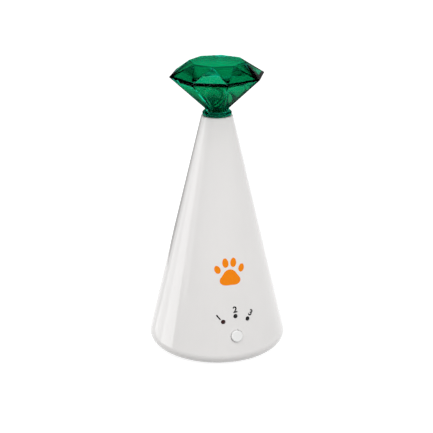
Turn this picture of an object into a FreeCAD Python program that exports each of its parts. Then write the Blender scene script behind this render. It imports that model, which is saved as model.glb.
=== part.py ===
"""Automatic laser toy for cats: a moulded cone with a turning faceted head.

Lengths are millimetres. The origin is the centre of the base on the floor, +Z is up and the push
button faces -Y. Azimuths are degrees, 0 at the front (-Y) and growing towards +X.
"""
import FreeCAD
import Part

import math
import os

from FreeCAD import Placement, Rotation, Vector

# Casing
overall_height = 210.0
base_diameter = 100.0
underside_gap = 0.8
base_rounding = 6.4
neck_radius = 11.1
wall = 2.0
seam_height = 4.0
neck_rim_rounding = 0.5
base_plate = 2.2
lip_height = 4.0
lip_thickness = 1.5
lip_fit = 0.1

# Faceted head
facets = 8
crown_height = 9.7
pavilion_height = 23.3
neck_drop = 5.4
girdle_radius = 33.9
table_radius = 19.5
culet_radius = 8.8
gem_wall = 2.0
table_corner_azimuth = -26.6
collar_radius = 10.3
collar_gap = 0.4
collar_height = 2.6
collar_rounding = 0.6
waist_radius = 8.6
head_floor = 3.0
head_bore_radius = 7.0
beam_facet = 2
slot_rise = 7.2
slot_length = 15.0
slot_width = 7.0
slot_rim_width = 1.0
slot_rim_depth = 1.4
window_thickness = 1.5
window_fit = 0.05
window_recess = 0.3

# Neck bearing and laser spindle
running_fit = 0.05
bush_outer_radius = 8.6
bush_length = 6.4
bush_drop = 0.2
shaft_wall = 1.45
spigot_step = 0.5
spindle_radius = 3.9
spindle_top_clearance = 0.4
spindle_shoulder_radius = 5.4
spindle_spigot_radius = 4.5
washer_thickness = 0.5
laser_radius = 3.0
laser_length = 13.0
laser_top_drop = 1.4
lens_radius = 2.0
lens_thickness = 1.2
lens_recess = 0.8

# Gear train
module = 0.4
pressure_angle = 20.0
tooth_shift = 0.4
backlash = 0.10
pinion_teeth = 10
wheel_teeth = 30
head_teeth = 60
gear_width = 2.6
head_gear_width = 4.0
gear_gap = 0.4
train_clearance = 1.5
plate_thickness = 2.0
plate_edge_gap = 1.4
upper_plate_clearance = 1.1
washer_seat = 0.3
washer_gap = 0.1
second_axle_azimuth = 180.0
first_axle_gap = 0.75
motor_axle_radius = 11.0
axle_radius = 0.75
pillar_radius = 2.2
pillar_gap = 0.8
pillar_azimuths = (120.0, 290.0, 20.0)
frame_screw_radius = 1.0
frame_screw_grip = 10.0
screw_clearance = 0.15
post_radius = 2.4

# Motor
motor_radius = 6.0
motor_flat = 5.0
motor_length = 15.0
motor_shell = 1.0
end_cap = 1.5
motor_boss_radius = 2.0
motor_shaft_radius = 0.5
armature_radius = 3.8
armature_length = 8.0
motor_screw_radius = 0.8
motor_screw_offset = 4.0

# Mirror and its fork
fork_width = 6.7
fork_offset = 1.5
fork_gap = 7.2
fork_ear = 1.2
fork_base = 1.2
fork_top = 4.5
beam_hole_radius = 3.6
trunnion_radius = 1.9
trunnion_length = 1.1
mirror_length = 10.0
mirror_width = 5.8
mirror_glass = 0.7
holder_plate = 1.2
holder_margin = 0.5
cheek_radius = 2.6
cheek_thickness = 0.5
fork_screw_radius = 0.7
fork_screw_head = 0.9
fork_screw_circle = 5.9
fork_screw_grip = 2.2

# Control panel on the front of the cone
button_height = 21.7
button_radius = 4.2
button_stand = 1.6
button_rounding = 0.8
button_gap = 0.3
button_travel = 1.0
button_flange_radius = 5.4
button_flange = 0.9
button_flange_depth = 2.6
button_stem_radius = 2.0
switch_size = 6.0
switch_height = 3.4
switch_rise = 1.4
plunger_radius = 1.7
led_places = (("left", -11.8, 32.4), ("middle", 0.0, 35.7), ("right", 11.9, 32.5))
led_radius = 1.5
led_stand = 0.8
led_body = 4.2
led_flange_radius = 1.9
led_flange = 1.0
led_hole_gap = 0.1
led_leg = 0.5
led_leg_pitch = 2.0
board_depth = 9.0
board_thickness = 1.6
board_half_width = 14.0
board_low = -10.0
board_high = 22.0
board_screw_side = 11.5
board_screw_lows = (-7.5, 19.0)
board_boss_radius = 2.4
board_screw_radius = 0.8
board_screw_grip = 4.5
board_screw_head = 1.7
chip_length = 8.6
chip_width = 4.0
chip_height = 1.5
chip_place = 8.0
capacitor_radius = 2.5
capacitor_height = 7.0
capacitor_place = (-8.0, 6.0)

# Batteries, their bay and its door
cell_radius = 7.25
cell_length = 50.5
nub_radius = 2.75
nub_length = 1.5
cell_count = 3
cell_pitch = 15.0
cell_clearance = 0.8
bay_centre = 3.0
bay_side_gap = 0.5
contact_space = 2.0
bay_roof_gap = 0.5
tray_wall = 1.5
door_thickness = 1.6
door_gap = 0.3
hinge_radius = 1.5
hinge_pin_radius = 0.75
hinge_pin_grip = 1.2
hinge_slot = 0.35
door_swing_gap = 0.25
door_notch_radius = 6.0
door_notch_depth = 0.6
contact_strip = 0.4
contact_width = 9.0
contact_height = 11.0
leaf_width = 5.0

# Feet and base screws
foot_radius = 4.0
foot_recess = 1.2
foot_recess_gap = 0.1
foot_edge = 1.2
foot_bay_gap = 0.4
base_screw_edge = 4.1
base_screw_azimuths = (-30.0, 30.0, 180.0)
base_screw_radius = 1.5
base_screw_head_radius = 2.8
base_screw_head = 2.0
base_screw_grip = 9.0
base_boss_radius = 4.0
base_boss_top = 9.0
base_post_radius = 3.2

# Wires
wire_radius = 0.6
wire_spacing = 1.5
wire_bend = 3.0
wire_loop = 6.0
wire_side = 6.0
wire_edge = 3.0
motor_wire_drop = 12.0
laser_wire_drop = 14.0

# Worked out from the sizes above
girdle_height = overall_height - crown_height
culet_height = girdle_height - pavilion_height
neck_height = culet_height - neck_drop
slot_height = culet_height + slot_rise
base_radius = base_diameter / 2.0
rounding_centre = (base_radius - base_rounding, underside_gap + base_rounding)
_to_neck = (neck_radius - rounding_centre[0], neck_height - rounding_centre[1])
wall_angle = math.atan2(_to_neck[1], _to_neck[0]) - math.acos(base_rounding / math.hypot(*_to_neck))
tangent_point = (rounding_centre[0] + base_rounding * math.cos(wall_angle),
                 rounding_centre[1] + base_rounding * math.sin(wall_angle))
seam_radius = rounding_centre[0] + math.sqrt(base_rounding ** 2 - (rounding_centre[1] - seam_height) ** 2)
skirt_radius = seam_radius - wall
plate_top = underside_gap + base_plate

collar_low = neck_height + collar_gap
collar_top = collar_low + collar_height
head_floor_top = collar_low + head_floor
girdle_apothem = girdle_radius * math.cos(math.pi / facets)
culet_apothem = culet_radius * math.cos(math.pi / facets)
facet_azimuth = table_corner_azimuth + beam_facet * 360.0 / facets
facet_run = girdle_apothem - culet_apothem
facet_rise = girdle_height - culet_height

shaft_bore = spindle_radius + running_fit
shaft_radius = shaft_bore + shaft_wall
shaft_spigot_radius = shaft_radius - spigot_step
bush_bore = shaft_radius + running_fit
bush_top = neck_height - bush_drop
spindle_top = head_floor_top - spindle_top_clearance
pinion_pitch = module * pinion_teeth / 2.0
wheel_pitch = module * wheel_teeth / 2.0
head_pitch = module * head_teeth / 2.0
second_axle_radius = head_pitch + pinion_pitch
first_axle_radius = head_pitch + axle_radius + first_axle_gap
axle_distance = wheel_pitch + pinion_pitch
pillar_circle = head_pitch + pillar_radius + pillar_gap
train_reach = second_axle_radius + wheel_pitch + module * (1.0 - tooth_shift) + train_clearance
train_top = tangent_point[1] + (tangent_point[0] - wall / math.cos(wall_angle)
                                - train_reach) / math.tan(wall_angle)
train_height = train_top - 2.0 * (gear_width + gear_gap) - plate_thickness
plate_top_face = train_height + plate_thickness
level_a = plate_top_face + gear_gap
level_b = level_a + gear_width + gear_gap
washer_low = level_b + gear_width + washer_seat
level_c = washer_low + washer_thickness + washer_gap
upper_plate_low = level_c + head_gear_width + upper_plate_clearance
upper_plate_top = upper_plate_low + plate_thickness

pivot_height = slot_height + fork_offset
fork_low = head_floor_top + fork_base

cell_low = underside_gap + door_thickness + cell_clearance
cell_axis_height = cell_low + cell_radius
bay_roof = cell_low + 2.0 * cell_radius + bay_roof_gap
bay_half_width = ((cell_count - 1) * cell_pitch) / 2.0 + cell_radius + bay_side_gap
bay_half_length = cell_length / 2.0 + contact_space
hinge_height = underside_gap + door_thickness
hinge_slot_end = -bay_half_length - tray_wall
hinge_place = hinge_slot_end + door_thickness + door_swing_gap
hinge_top = hinge_height + hinge_radius + hinge_slot
contact_low = hinge_top + hinge_slot / 2.0
door_end = bay_half_length - door_gap
foot_circle = rounding_centre[0] - foot_radius - foot_edge
foot_side = bay_half_length + tray_wall + foot_recess_gap + foot_bay_gap + foot_radius
base_screw_circle = rounding_centre[0] - base_screw_edge
board_front = -board_depth
board_back = -board_depth - board_thickness


def polar(radius, azimuth, height):
    """Point at a radius and height on an azimuth measured from the front."""
    angle = math.radians(azimuth)
    return Vector(radius * math.sin(angle), -radius * math.cos(angle), height)


def rod(radius, low, high, centre=None):
    """Upright cylinder between two heights about a centre point."""
    at = centre or Vector(0, 0, 0)
    return Part.makeCylinder(radius, high - low, Vector(at.x, at.y, low))


def ring(outer, inner, low, high, centre=None):
    """Upright tube between two heights."""
    return rod(outer, low, high, centre).cut(rod(inner, low - 1.0, high + 1.0, centre))


def box(low, high):
    """Box between two corner points."""
    return Part.makeBox(high[0] - low[0], high[1] - low[1], high[2] - low[2], Vector(*low))


def merged(first, *others):
    """One solid from overlapping or touching solids."""
    return first.fuse(list(others)).removeSplitter()


def turned(start, *steps):
    """Solid turned about Z from (radius, height) steps; a step of two points is an arc."""
    edges, here = [], start
    for step in steps + (start,):
        if isinstance(step[0], tuple):
            through, end = step
            edges.append(Part.Arc(flat(here), flat(through), flat(end)).toShape())
            here = end
        elif step != here:
            edges.append(Part.LineSegment(flat(here), flat(step)).toShape())
            here = step
    face = Part.Face(Part.Wire(edges))
    return face.revolve(Vector(0, 0, 0), Vector(0, 0, 1), 360)


def flat(point):
    """Point of a turned outline in the XZ plane."""
    return Vector(point[0], 0, point[1])


def wall_radius(height, inset=0.0):
    """Outer radius of the cone at a height, less an inset square to the wall."""
    slope = math.tan(wall_angle)
    return tangent_point[0] - (height - tangent_point[1]) * slope - inset / math.cos(wall_angle)


def inside_cone(inset, low, high):
    """Solid cone that lies an inset below the outer wall."""
    return Part.makeCone(wall_radius(low, inset), wall_radius(high, inset), high - low, Vector(0, 0, low))


def panel_point():
    """Point of the outer wall under the centre of the button."""
    return polar(wall_radius(button_height), 0.0, button_height)


def on_panel(shape):
    """Shape drawn with X right, Y up the wall and Z outwards, put on the front of the cone."""
    tilt = Rotation(Vector(1, 0, 0), 90.0 - math.degrees(wall_angle))
    shape.Placement = Placement(panel_point(), tilt).multiply(shape.Placement)
    return shape


def panel_offset(azimuth, height):
    """Place of a point of the wall in the panel's own X, Y and Z."""
    tilt = Rotation(Vector(1, 0, 0), 90.0 - math.degrees(wall_angle))
    return tilt.inverted().multVec(polar(wall_radius(height), azimuth, height) - panel_point())


def on_head(shape):
    """Shape drawn with X along the beam's azimuth, turned to the head's rest angle."""
    shape.rotate(Vector(0, 0, 0), Vector(0, 0, 1), facet_azimuth - 90.0)
    return shape


def on_facet(shape):
    """Shape drawn with X up the beam facet and Z out of it, put at the slot's centre."""
    length = math.hypot(facet_run, facet_rise)
    radius = culet_apothem + (slot_height - culet_height) * facet_run / facet_rise
    outwards = polar(1.0, facet_azimuth, 0.0)
    up_slope = outwards * (facet_run / length) + Vector(0, 0, facet_rise / length)
    normal = outwards * (facet_rise / length) - Vector(0, 0, facet_run / length)
    turn = Rotation(up_slope, normal.cross(up_slope), normal, "ZXY")
    shape.Placement = Placement(polar(radius, facet_azimuth, slot_height), turn).multiply(shape.Placement)
    return shape


def obround(length, width, low, high):
    """Prism with round ends, along X."""
    half = (length - width) / 2.0
    body = box((-half, -width / 2.0, low), (half, width / 2.0, high))
    ends = [rod(width / 2.0, low, high, Vector(side * half, 0, 0)) for side in (-1, 1)]
    return merged(body, *ends)


def screw(shank_radius, head_radius, head_height, shank_length):
    """Pan-head screw standing on its head's underside at Z 0, shank upwards, cross recess below."""
    head = turned((0, -head_height), (0.6 * head_radius, -head_height),
                  ((0.9 * head_radius, -0.75 * head_height), (head_radius, 0)), (0, 0))
    shank = rod(shank_radius, 0.0, shank_length)
    solid = merged(head, shank)
    reach, slot, depth = 0.6 * head_radius, 0.18 * head_radius, 0.5 * head_height
    for long_x, long_y in ((reach, slot), (slot, reach)):
        solid = solid.cut(box((-long_x, -long_y, -head_height - 1.0), (long_x, long_y, -head_height + depth)))
    return solid


def placed(shape, point, azimuth=0.0):
    """Copy of a shape moved to a point, turned about Z."""
    copy = shape.copy()
    copy.Placement = Placement(point, Rotation(Vector(0, 0, 1), azimuth)).multiply(copy.Placement)
    return copy


def involute(angle):
    """Involute function of a pressure angle in radians."""
    return math.tan(angle) - angle


def gear(teeth, shift, low, high, centre, facing, gap=False):
    """Spur gear with involute teeth; a tooth, or a gap, is centred on the facing direction."""
    pitch, alpha = module * teeth / 2.0, math.radians(pressure_angle)
    base = pitch * math.cos(alpha)
    tip = pitch + module * (1.0 + shift) - 0.15 * module * (shift > 0)
    root = pitch - module * (1.25 - shift)
    half = (math.pi / 2.0 + 2.0 * shift * math.tan(alpha)) / teeth - backlash / 4.0 / pitch

    def spread(radius):
        return half + involute(alpha) - involute(math.acos(min(1.0, base / radius)))

    def at(radius, angle):
        return Vector(centre.x + radius * math.cos(angle), centre.y + radius * math.sin(angle), low)

    step = 2.0 * math.pi / teeth
    start = facing + (step / 2.0 if gap else 0.0)
    foot = max(root, base)
    middle = (foot + tip) / 2.0
    edges = []
    for number in range(teeth):
        turn = start + number * step
        if root < base:
            edges.append(Part.LineSegment(at(root, turn - spread(foot)), at(foot, turn - spread(foot))).toShape())
        edges.append(Part.Arc(at(foot, turn - spread(foot)), at(middle, turn - spread(middle)),
                              at(tip, turn - spread(tip))).toShape())
        edges.append(Part.Arc(at(tip, turn - spread(tip)), at(tip, turn), at(tip, turn + spread(tip))).toShape())
        edges.append(Part.Arc(at(tip, turn + spread(tip)), at(middle, turn + spread(middle)),
                              at(foot, turn + spread(foot))).toShape())
        if root < base:
            edges.append(Part.LineSegment(at(foot, turn + spread(foot)), at(root, turn + spread(foot))).toShape())
        edges.append(Part.Arc(at(root, turn + spread(foot)), at(root, turn + step / 2.0),
                              at(root, turn + step - spread(foot))).toShape())
    return Part.Face(Part.Wire(edges)).extrude(Vector(0, 0, high - low))


def triangle_azimuth(near, far, side):
    """Angle between two radii whose ends lie a side apart, in degrees."""
    return math.degrees(math.acos((near ** 2 + far ** 2 - side ** 2) / (2.0 * near * far)))


first_axle_azimuth = second_axle_azimuth + triangle_azimuth(second_axle_radius, first_axle_radius, axle_distance)
motor_azimuth = first_axle_azimuth + triangle_azimuth(first_axle_radius, motor_axle_radius, axle_distance)
second_axle = polar(second_axle_radius, second_axle_azimuth, 0.0)
first_axle = polar(first_axle_radius, first_axle_azimuth, 0.0)
motor_axis = polar(motor_axle_radius, motor_azimuth, 0.0)


def direction(start, end):
    """Angle of the line from one point to another, in radians from +X."""
    return math.atan2(end.y - start.y, end.x - start.x)


def half_space(point, normal, size=400.0):
    """Large box whose near face passes through a point, on the side that the normal points to."""
    slab = box((-size / 2.0, -size / 2.0, 0.0), (size / 2.0, size / 2.0, size))
    slab.Placement = Placement(point, Rotation(Vector(0, 0, 1), normal))
    return slab


def cut_by_planes(solid, planes):
    """Solid left when what lies outside each (point, outward normal) plane is cut away."""
    for point, normal in planes:
        solid = solid.cut(half_space(point, normal))
    return solid


def facet_azimuths(offset):
    """Azimuths of the facets, or of the corners between them."""
    return [table_corner_azimuth + offset + number * 360.0 / facets for number in range(facets)]


def plane_through(first, second, third, inset):
    """Plane through three points, as a point moved in by the inset and the outward normal."""
    normal = (second - first).cross(third - first).normalize()
    if normal.dot(first - Vector(0, 0, girdle_height - 5.0)) < 0:
        normal = normal * -1.0
    return first - normal * inset, normal


def crown_planes(inset):
    """Table and crown facets of the gem: kite triangles standing up and down round the table."""
    half = 180.0 / facets
    planes = [(Vector(0, 0, overall_height - inset), Vector(0, 0, 1))]
    for azimuth in facet_azimuths(0.0):
        apex = polar(table_radius, azimuth, overall_height)
        left, right = polar(girdle_radius, azimuth - half, girdle_height), polar(girdle_radius, azimuth + half,
                                                                                   girdle_height)
        planes.append(plane_through(apex, left, right, inset))
        next_apex = polar(table_radius, azimuth + 2.0 * half, overall_height)
        planes.append(plane_through(apex, next_apex, right, inset))
    return planes


def pavilion_planes(inset):
    """Sloping lower facets of the gem."""
    half = 180.0 / facets
    planes = []
    for azimuth in facet_azimuths(0.0):
        corners = (polar(girdle_radius, azimuth - half, girdle_height),
                   polar(girdle_radius, azimuth + half, girdle_height),
                   polar(culet_radius, azimuth, culet_height))
        low = polar(culet_apothem, azimuth, culet_height)
        planes.append(plane_through(corners[0], corners[1], low, inset))
    return planes


def frame_screw_points():
    """Centres of the three long screws of the gear frame."""
    return [polar(pillar_circle, azimuth, 0.0) for azimuth in pillar_azimuths]


def base_screw_points():
    """Centres of the screws between the base cover and the housing."""
    return [polar(base_screw_circle, azimuth, 0.0) for azimuth in base_screw_azimuths]


def foot_points():
    """Centres of the feet, beside the battery door and inside the rounding."""
    across = math.sqrt(foot_circle ** 2 - foot_side ** 2)
    return [Vector(side * foot_side, end * across, 0) for side in (-1, 1) for end in (-1, 1)]


def cell_places():
    """Y of each cell's axis and the end that its nub points to."""
    middle = (cell_count - 1) / 2.0
    return [(bay_centre + (number - middle) * cell_pitch, 1 if number % 2 == 0 else -1)
            for number in range(cell_count)]


def cone_housing():
    """White outer cone with its posts, bosses and the holes of the control panel."""
    skirt_top = tangent_point[1] + (tangent_point[0] - wall / math.cos(wall_angle)
                                    - skirt_radius) / math.tan(wall_angle)
    seat = bush_top - bush_length
    middle_angle = (math.asin((seam_height - rounding_centre[1]) / base_rounding) + wall_angle) / 2.0
    middle = (rounding_centre[0] + base_rounding * math.cos(middle_angle),
              rounding_centre[1] + base_rounding * math.sin(middle_angle))
    rim = neck_rim_rounding
    shell = turned((skirt_radius, seam_height), (seam_radius, seam_height), (middle, tangent_point),
                   (wall_radius(neck_height - rim), neck_height - rim),
                   (wall_radius(neck_height - rim) - rim, neck_height),
                   (bush_outer_radius, neck_height), (bush_outer_radius, seat),
                   (wall_radius(seat - 1.0, wall), seat - 1.0),
                   (skirt_radius, skirt_top))
    envelope = inside_cone(wall / 2.0, base_boss_top, neck_height)
    extras = [rod(base_post_radius, base_boss_top, neck_height, point).common(envelope)
              for point in base_screw_points()]
    extras += [rod(post_radius, upper_plate_top, neck_height, point).common(envelope)
               for point in frame_screw_points()]
    for side in (-1, 1):
        for low in board_screw_lows:
            boss = rod(board_boss_radius, board_front, board_depth, Vector(side * board_screw_side, low, 0))
            extras.append(on_panel(boss).common(envelope))
    shell = merged(shell, *extras)
    for point in base_screw_points():
        shell = shell.cut(rod(base_screw_radius, base_boss_top, base_boss_top + base_screw_grip, point))
    for point in frame_screw_points():
        shell = shell.cut(rod(frame_screw_radius, upper_plate_top, upper_plate_top + frame_screw_grip, point))
    for side in (-1, 1):
        for low in board_screw_lows:
            hole = rod(board_screw_radius, board_front, board_front + board_screw_grip,
                       Vector(side * board_screw_side, low, 0))
            shell = shell.cut(on_panel(hole))
    shell = shell.cut(on_panel(rod(button_radius + button_gap, board_front / 2.0, board_depth)))
    for _, azimuth, height in led_places:
        place = panel_offset(azimuth, height)
        shell = shell.cut(on_panel(rod(led_radius + led_hole_gap, board_front / 2.0, board_depth, place)))
    return shell


def base_cover():
    """Bottom moulding with the battery tray, screw bosses and foot recesses."""
    lip_radius = skirt_radius - lip_fit
    low_angle = (-math.pi / 2.0 + math.asin((seam_height - rounding_centre[1]) / base_rounding)) / 2.0
    middle = (rounding_centre[0] + base_rounding * math.cos(low_angle),
              rounding_centre[1] + base_rounding * math.sin(low_angle))
    lip_top = seam_height + lip_height
    plate = turned((0, underside_gap), (rounding_centre[0], underside_gap), (middle, (seam_radius, seam_height)),
                   (lip_radius, seam_height), (lip_radius, lip_top), (lip_radius - lip_thickness, lip_top),
                   (lip_radius - lip_thickness, plate_top), (0, plate_top))
    tray = box((-bay_half_length - tray_wall, bay_centre - bay_half_width - tray_wall, plate_top - 0.5),
               (bay_half_length + tray_wall, bay_centre + bay_half_width + tray_wall, bay_roof + tray_wall))
    bosses = [rod(base_boss_radius, plate_top - 0.5, base_boss_top, point) for point in base_screw_points()]
    cover = merged(plate, tray, *bosses)
    cover = cover.cut(box((-bay_half_length, bay_centre - bay_half_width, underside_gap - 1.0),
                          (bay_half_length, bay_centre + bay_half_width, bay_roof)))
    cover = cover.cut(box((hinge_slot_end, bay_centre - bay_half_width, underside_gap - 1.0),
                          (0, bay_centre + bay_half_width, hinge_top)))
    grip = bay_half_width + hinge_pin_grip
    cover = cover.cut(Part.makeCylinder(hinge_pin_radius, 2.0 * grip,
                                        Vector(hinge_place, bay_centre - grip, hinge_height), Vector(0, 1, 0)))
    for point in base_screw_points():
        cover = cover.cut(rod(base_screw_radius + screw_clearance, 0.0, base_boss_top + 1.0, point))
        cover = cover.cut(rod(base_screw_head_radius + screw_clearance, 0.0, underside_gap + base_screw_head, point))
    for point in foot_points():
        cover = cover.cut(rod(foot_radius + foot_recess_gap, 0.0, underside_gap + foot_recess, point))
    for y, _ in cell_places():
        for end in (-1, 1):
            wire_hole = rod(wire_radius + wire_spacing, bay_roof - 1.0, bay_roof + tray_wall + 1.0,
                            Vector(end * (bay_half_length - 1.0), y, 0))
            if y == cell_places()[0][0]:
                cover = cover.cut(wire_hole)
    return cover


def battery_door():
    """Flush door of the battery bay with its hinge barrel and finger notch."""
    half = bay_half_width - door_gap
    low, high = bay_centre - half, bay_centre + half
    plate = box((hinge_place, low, underside_gap), (door_end, high, underside_gap + door_thickness))
    barrel = Part.makeCylinder(hinge_radius, 2.0 * half, Vector(hinge_place, low, hinge_height), Vector(0, 1, 0))
    door = merged(plate, barrel)
    door = door.cut(Part.makeCylinder(hinge_pin_radius + running_fit, 4.0 * half,
                                      Vector(hinge_place, bay_centre - 2.0 * half, hinge_height), Vector(0, 1, 0)))
    notch = rod(door_notch_radius, underside_gap - 1.0, underside_gap + door_notch_depth,
                Vector(door_end, bay_centre, 0))
    return door.cut(notch)


def door_hinge_pin():
    """Steel pin through the door's barrel, held in the bay's side walls."""
    grip = bay_half_width + hinge_pin_grip
    return Part.makeCylinder(hinge_pin_radius, 2.0 * grip,
                             Vector(hinge_place, bay_centre - grip, hinge_height), Vector(0, 1, 0))


def rubber_feet():
    """Four soft feet in their recesses."""
    soft_edge = 0.3 * underside_gap
    foot = turned((0, 0), (foot_radius - soft_edge, 0), (foot_radius, soft_edge),
                  (foot_radius, underside_gap + foot_recess), (0, underside_gap + foot_recess))
    return [placed(foot, point) for point in foot_points()]


def base_screws():
    """Screws that hold the base cover to the housing."""
    seat = underside_gap + base_screw_head
    length = base_boss_top + base_screw_grip - 1.0 - seat
    one = screw(base_screw_radius, base_screw_head_radius, base_screw_head, length)
    return [placed(one, point + Vector(0, 0, seat)) for point in base_screw_points()]


def battery_cells():
    """Penlight cells lying side by side, each turned end for end."""
    cells = []
    for y, end in cell_places():
        start = Vector(-end * cell_length / 2.0, y, cell_axis_height)
        can = Part.makeCylinder(cell_radius, cell_length - nub_length, start, Vector(end, 0, 0))
        can = can.makeFillet(0.6, [edge for edge in can.Edges if edge.Curve.TypeId == "Part::GeomCircle"])
        nub = Part.makeCylinder(nub_radius, nub_length + 1.0, start + Vector(end * (cell_length - nub_length - 1.0), 0, 0),
                                Vector(end, 0, 0))
        cells.append(merged(can, nub))
    return cells


def contact_plate(y, end):
    """Flat contact strip against one end wall of the bay."""
    outer, inner = end * bay_half_length, end * (bay_half_length - contact_strip)
    return box((min(outer, inner), y - contact_width / 2.0, contact_low),
               (max(outer, inner), y + contact_width / 2.0, contact_low + contact_height))


def negative_contacts():
    """Leaf contacts bent towards the flat ends of the cells."""
    contacts = []
    for y, end in cell_places():
        root = -end * (bay_half_length - contact_strip)
        peak = -end * cell_length / 2.0
        strip = contact_strip * -end
        rise = contact_height / 3.0
        outline = [Vector(root, y, cell_axis_height - rise), Vector(peak, y, cell_axis_height - 0.6),
                   Vector(peak, y, cell_axis_height + 0.6), Vector(root, y, cell_axis_height + rise),
                   Vector(root, y, cell_axis_height + rise - 1.0), Vector(peak + strip, y, cell_axis_height + 0.2),
                   Vector(peak + strip, y, cell_axis_height - 0.2), Vector(root, y, cell_axis_height - rise + 1.0)]
        wire = Part.makePolygon(outline + outline[:1])
        wire.translate(Vector(0, -leaf_width / 2.0, 0))
        leaf = Part.Face(wire).extrude(Vector(0, leaf_width, 0))
        contacts.append(merged(contact_plate(y, -end), leaf))
    return contacts


def positive_contacts():
    """Contact plates with a raised pad for the cells' nubs."""
    contacts = []
    for y, end in cell_places():
        root = Vector(end * (bay_half_length - contact_strip), y, cell_axis_height)
        pad = Part.makeCone(2.0 * nub_radius / 1.5, nub_radius, contact_space - contact_strip, root, Vector(-end, 0, 0))
        contacts.append(merged(contact_plate(y, end), pad))
    return contacts


def circuit_board():
    """Board behind the control panel, parallel to the wall."""
    board = box((-board_half_width, board_low, board_back), (board_half_width, board_high, board_front))
    for side in (-1, 1):
        for low in board_screw_lows:
            board = board.cut(rod(board_screw_radius + screw_clearance, board_back - 1.0, board_front + 1.0,
                                  Vector(side * board_screw_side, low, 0)))
    for _, azimuth, height in led_places:
        place = panel_offset(azimuth, height)
        for side in (-1, 1):
            board = board.cut(led_leg_box(place, side, led_leg + 0.1))
    return on_panel(board)


def board_screws():
    """Small screws that hold the board to the bosses of the housing."""
    one = screw(board_screw_radius, board_screw_head, 1.2, board_thickness + board_screw_grip - 0.5)
    screws = []
    for side in (-1, 1):
        for low in board_screw_lows:
            screws.append(on_panel(placed(one, Vector(side * board_screw_side, low, board_back))))
    return screws


def mode_switch():
    """Body of the push switch on the board."""
    half = switch_size / 2.0
    top = board_front + switch_height
    body = box((-half, -half, board_front), (half, half, top))
    return on_panel(body.cut(rod(plunger_radius + running_fit, board_front + 0.4, top + 1.0)))


def switch_plunger():
    """Plunger between the switch and the button."""
    top = board_front + switch_height + switch_rise
    return on_panel(rod(plunger_radius, board_front + 0.4 + button_travel + 0.2, top))


def mode_button():
    """Round button cap with its flange and stem."""
    top = -button_flange_depth
    cap = turned((0, top), (button_radius, top), (button_radius, button_stand - button_rounding),
                 ((button_radius - button_rounding * (1.0 - math.sqrt(0.5)),
                   button_stand - button_rounding * (1.0 - math.sqrt(0.5))),
                  (button_radius - button_rounding, button_stand)), (0, button_stand))
    flange = rod(button_flange_radius, top - button_flange, top)
    stem = rod(button_stem_radius, board_front + switch_height + switch_rise, top)
    return on_panel(merged(cap, flange, stem))


def led_leg_box(place, side, size):
    """Box of one wire leg of an indicator, through the board."""
    x = place.x + side * led_leg_pitch / 2.0
    half = size / 2.0
    return box((x - half, place.y - half, board_back - 1.0), (x + half, place.y + half, place.z - led_body + 0.5))


def indicator_led(azimuth, height):
    """Domed indicator lamp with its flange and two legs."""
    place = panel_offset(azimuth, height)
    top, bottom = place.z + led_stand, place.z - led_body
    dome = turned((0, bottom), (led_flange_radius, bottom), (led_flange_radius, bottom + led_flange),
                  (led_radius, bottom + led_flange), (led_radius, top - led_radius),
                  ((led_radius * math.sqrt(0.5), top - led_radius * (1.0 - math.sqrt(0.5))), (0, top)))
    dome.translate(Vector(place.x, place.y, 0))
    return on_panel(merged(dome, led_leg_box(place, -1, led_leg), led_leg_box(place, 1, led_leg)))


def control_chip():
    """Controller package with its two rows of legs on the back of the board."""
    low = board_back - chip_height
    body = box((-chip_width / 2.0, chip_place - chip_length / 2.0, low),
               (chip_width / 2.0, chip_place + chip_length / 2.0, board_back - 0.1))
    legs = []
    for number in range(7):
        y = chip_place + (number - 3) * 1.2
        legs.append(box((-chip_width / 2.0 - 1.0, y - 0.2, board_back - 0.3),
                        (chip_width / 2.0 + 1.0, y + 0.2, board_back)))
    return on_panel(merged(body, *legs))


def smoothing_capacitor():
    """Small round capacitor on the back of the board."""
    x, y = capacitor_place
    return on_panel(rod(capacitor_radius, board_back - capacitor_height, board_back, Vector(x, y, 0)))


def lower_gear_plate():
    """Lower plate of the gear frame with its three pillars."""
    plate = rod(wall_radius(plate_top_face, wall + 3.0 * plate_edge_gap), train_height, plate_top_face)
    pillars = [rod(pillar_radius, train_height, upper_plate_low, point) for point in frame_screw_points()]
    plate = merged(plate, *pillars)
    for point in frame_screw_points():
        plate = plate.cut(rod(frame_screw_radius + screw_clearance, train_height - 1.0, upper_plate_low + 1.0, point))
    for point in (first_axle, second_axle):
        plate = plate.cut(rod(axle_radius, train_height, plate_top_face + 1.0, point))
    plate = plate.cut(rod(spindle_spigot_radius, train_height - 1.0, plate_top_face + 1.0))
    plate = plate.cut(rod(motor_boss_radius + 0.1, train_height - 1.0, plate_top_face + 1.0, motor_axis))
    for point in motor_screw_points():
        plate = plate.cut(rod(motor_screw_radius + screw_clearance, train_height - 1.0, plate_top_face + 1.0, point))
    return plate


def upper_gear_plate():
    """Upper plate of the gear frame, under the posts of the housing."""
    plate = rod(wall_radius(upper_plate_top, wall + plate_edge_gap), upper_plate_low, upper_plate_top)
    plate = plate.cut(rod(shaft_radius + upper_plate_clearance, upper_plate_low - 1.0, upper_plate_top + 1.0))
    for point in frame_screw_points():
        plate = plate.cut(rod(frame_screw_radius + screw_clearance, upper_plate_low - 1.0, upper_plate_top + 1.0, point))
    for point in (first_axle, second_axle):
        plate = plate.cut(rod(axle_radius, upper_plate_low - 1.0, upper_plate_top + 1.0, point))
    return plate


def frame_screws():
    """Long screws through both plates into the housing's posts."""
    length = upper_plate_top + frame_screw_grip - 1.0 - train_height
    one = screw(frame_screw_radius, 2.0 * frame_screw_radius, 1.5, length)
    return [placed(one, point + Vector(0, 0, train_height)) for point in frame_screw_points()]


def gear_axles():
    """Steel pins that the two compound gears turn on."""
    return [rod(axle_radius, train_height, upper_plate_top, point) for point in (first_axle, second_axle)]


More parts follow.
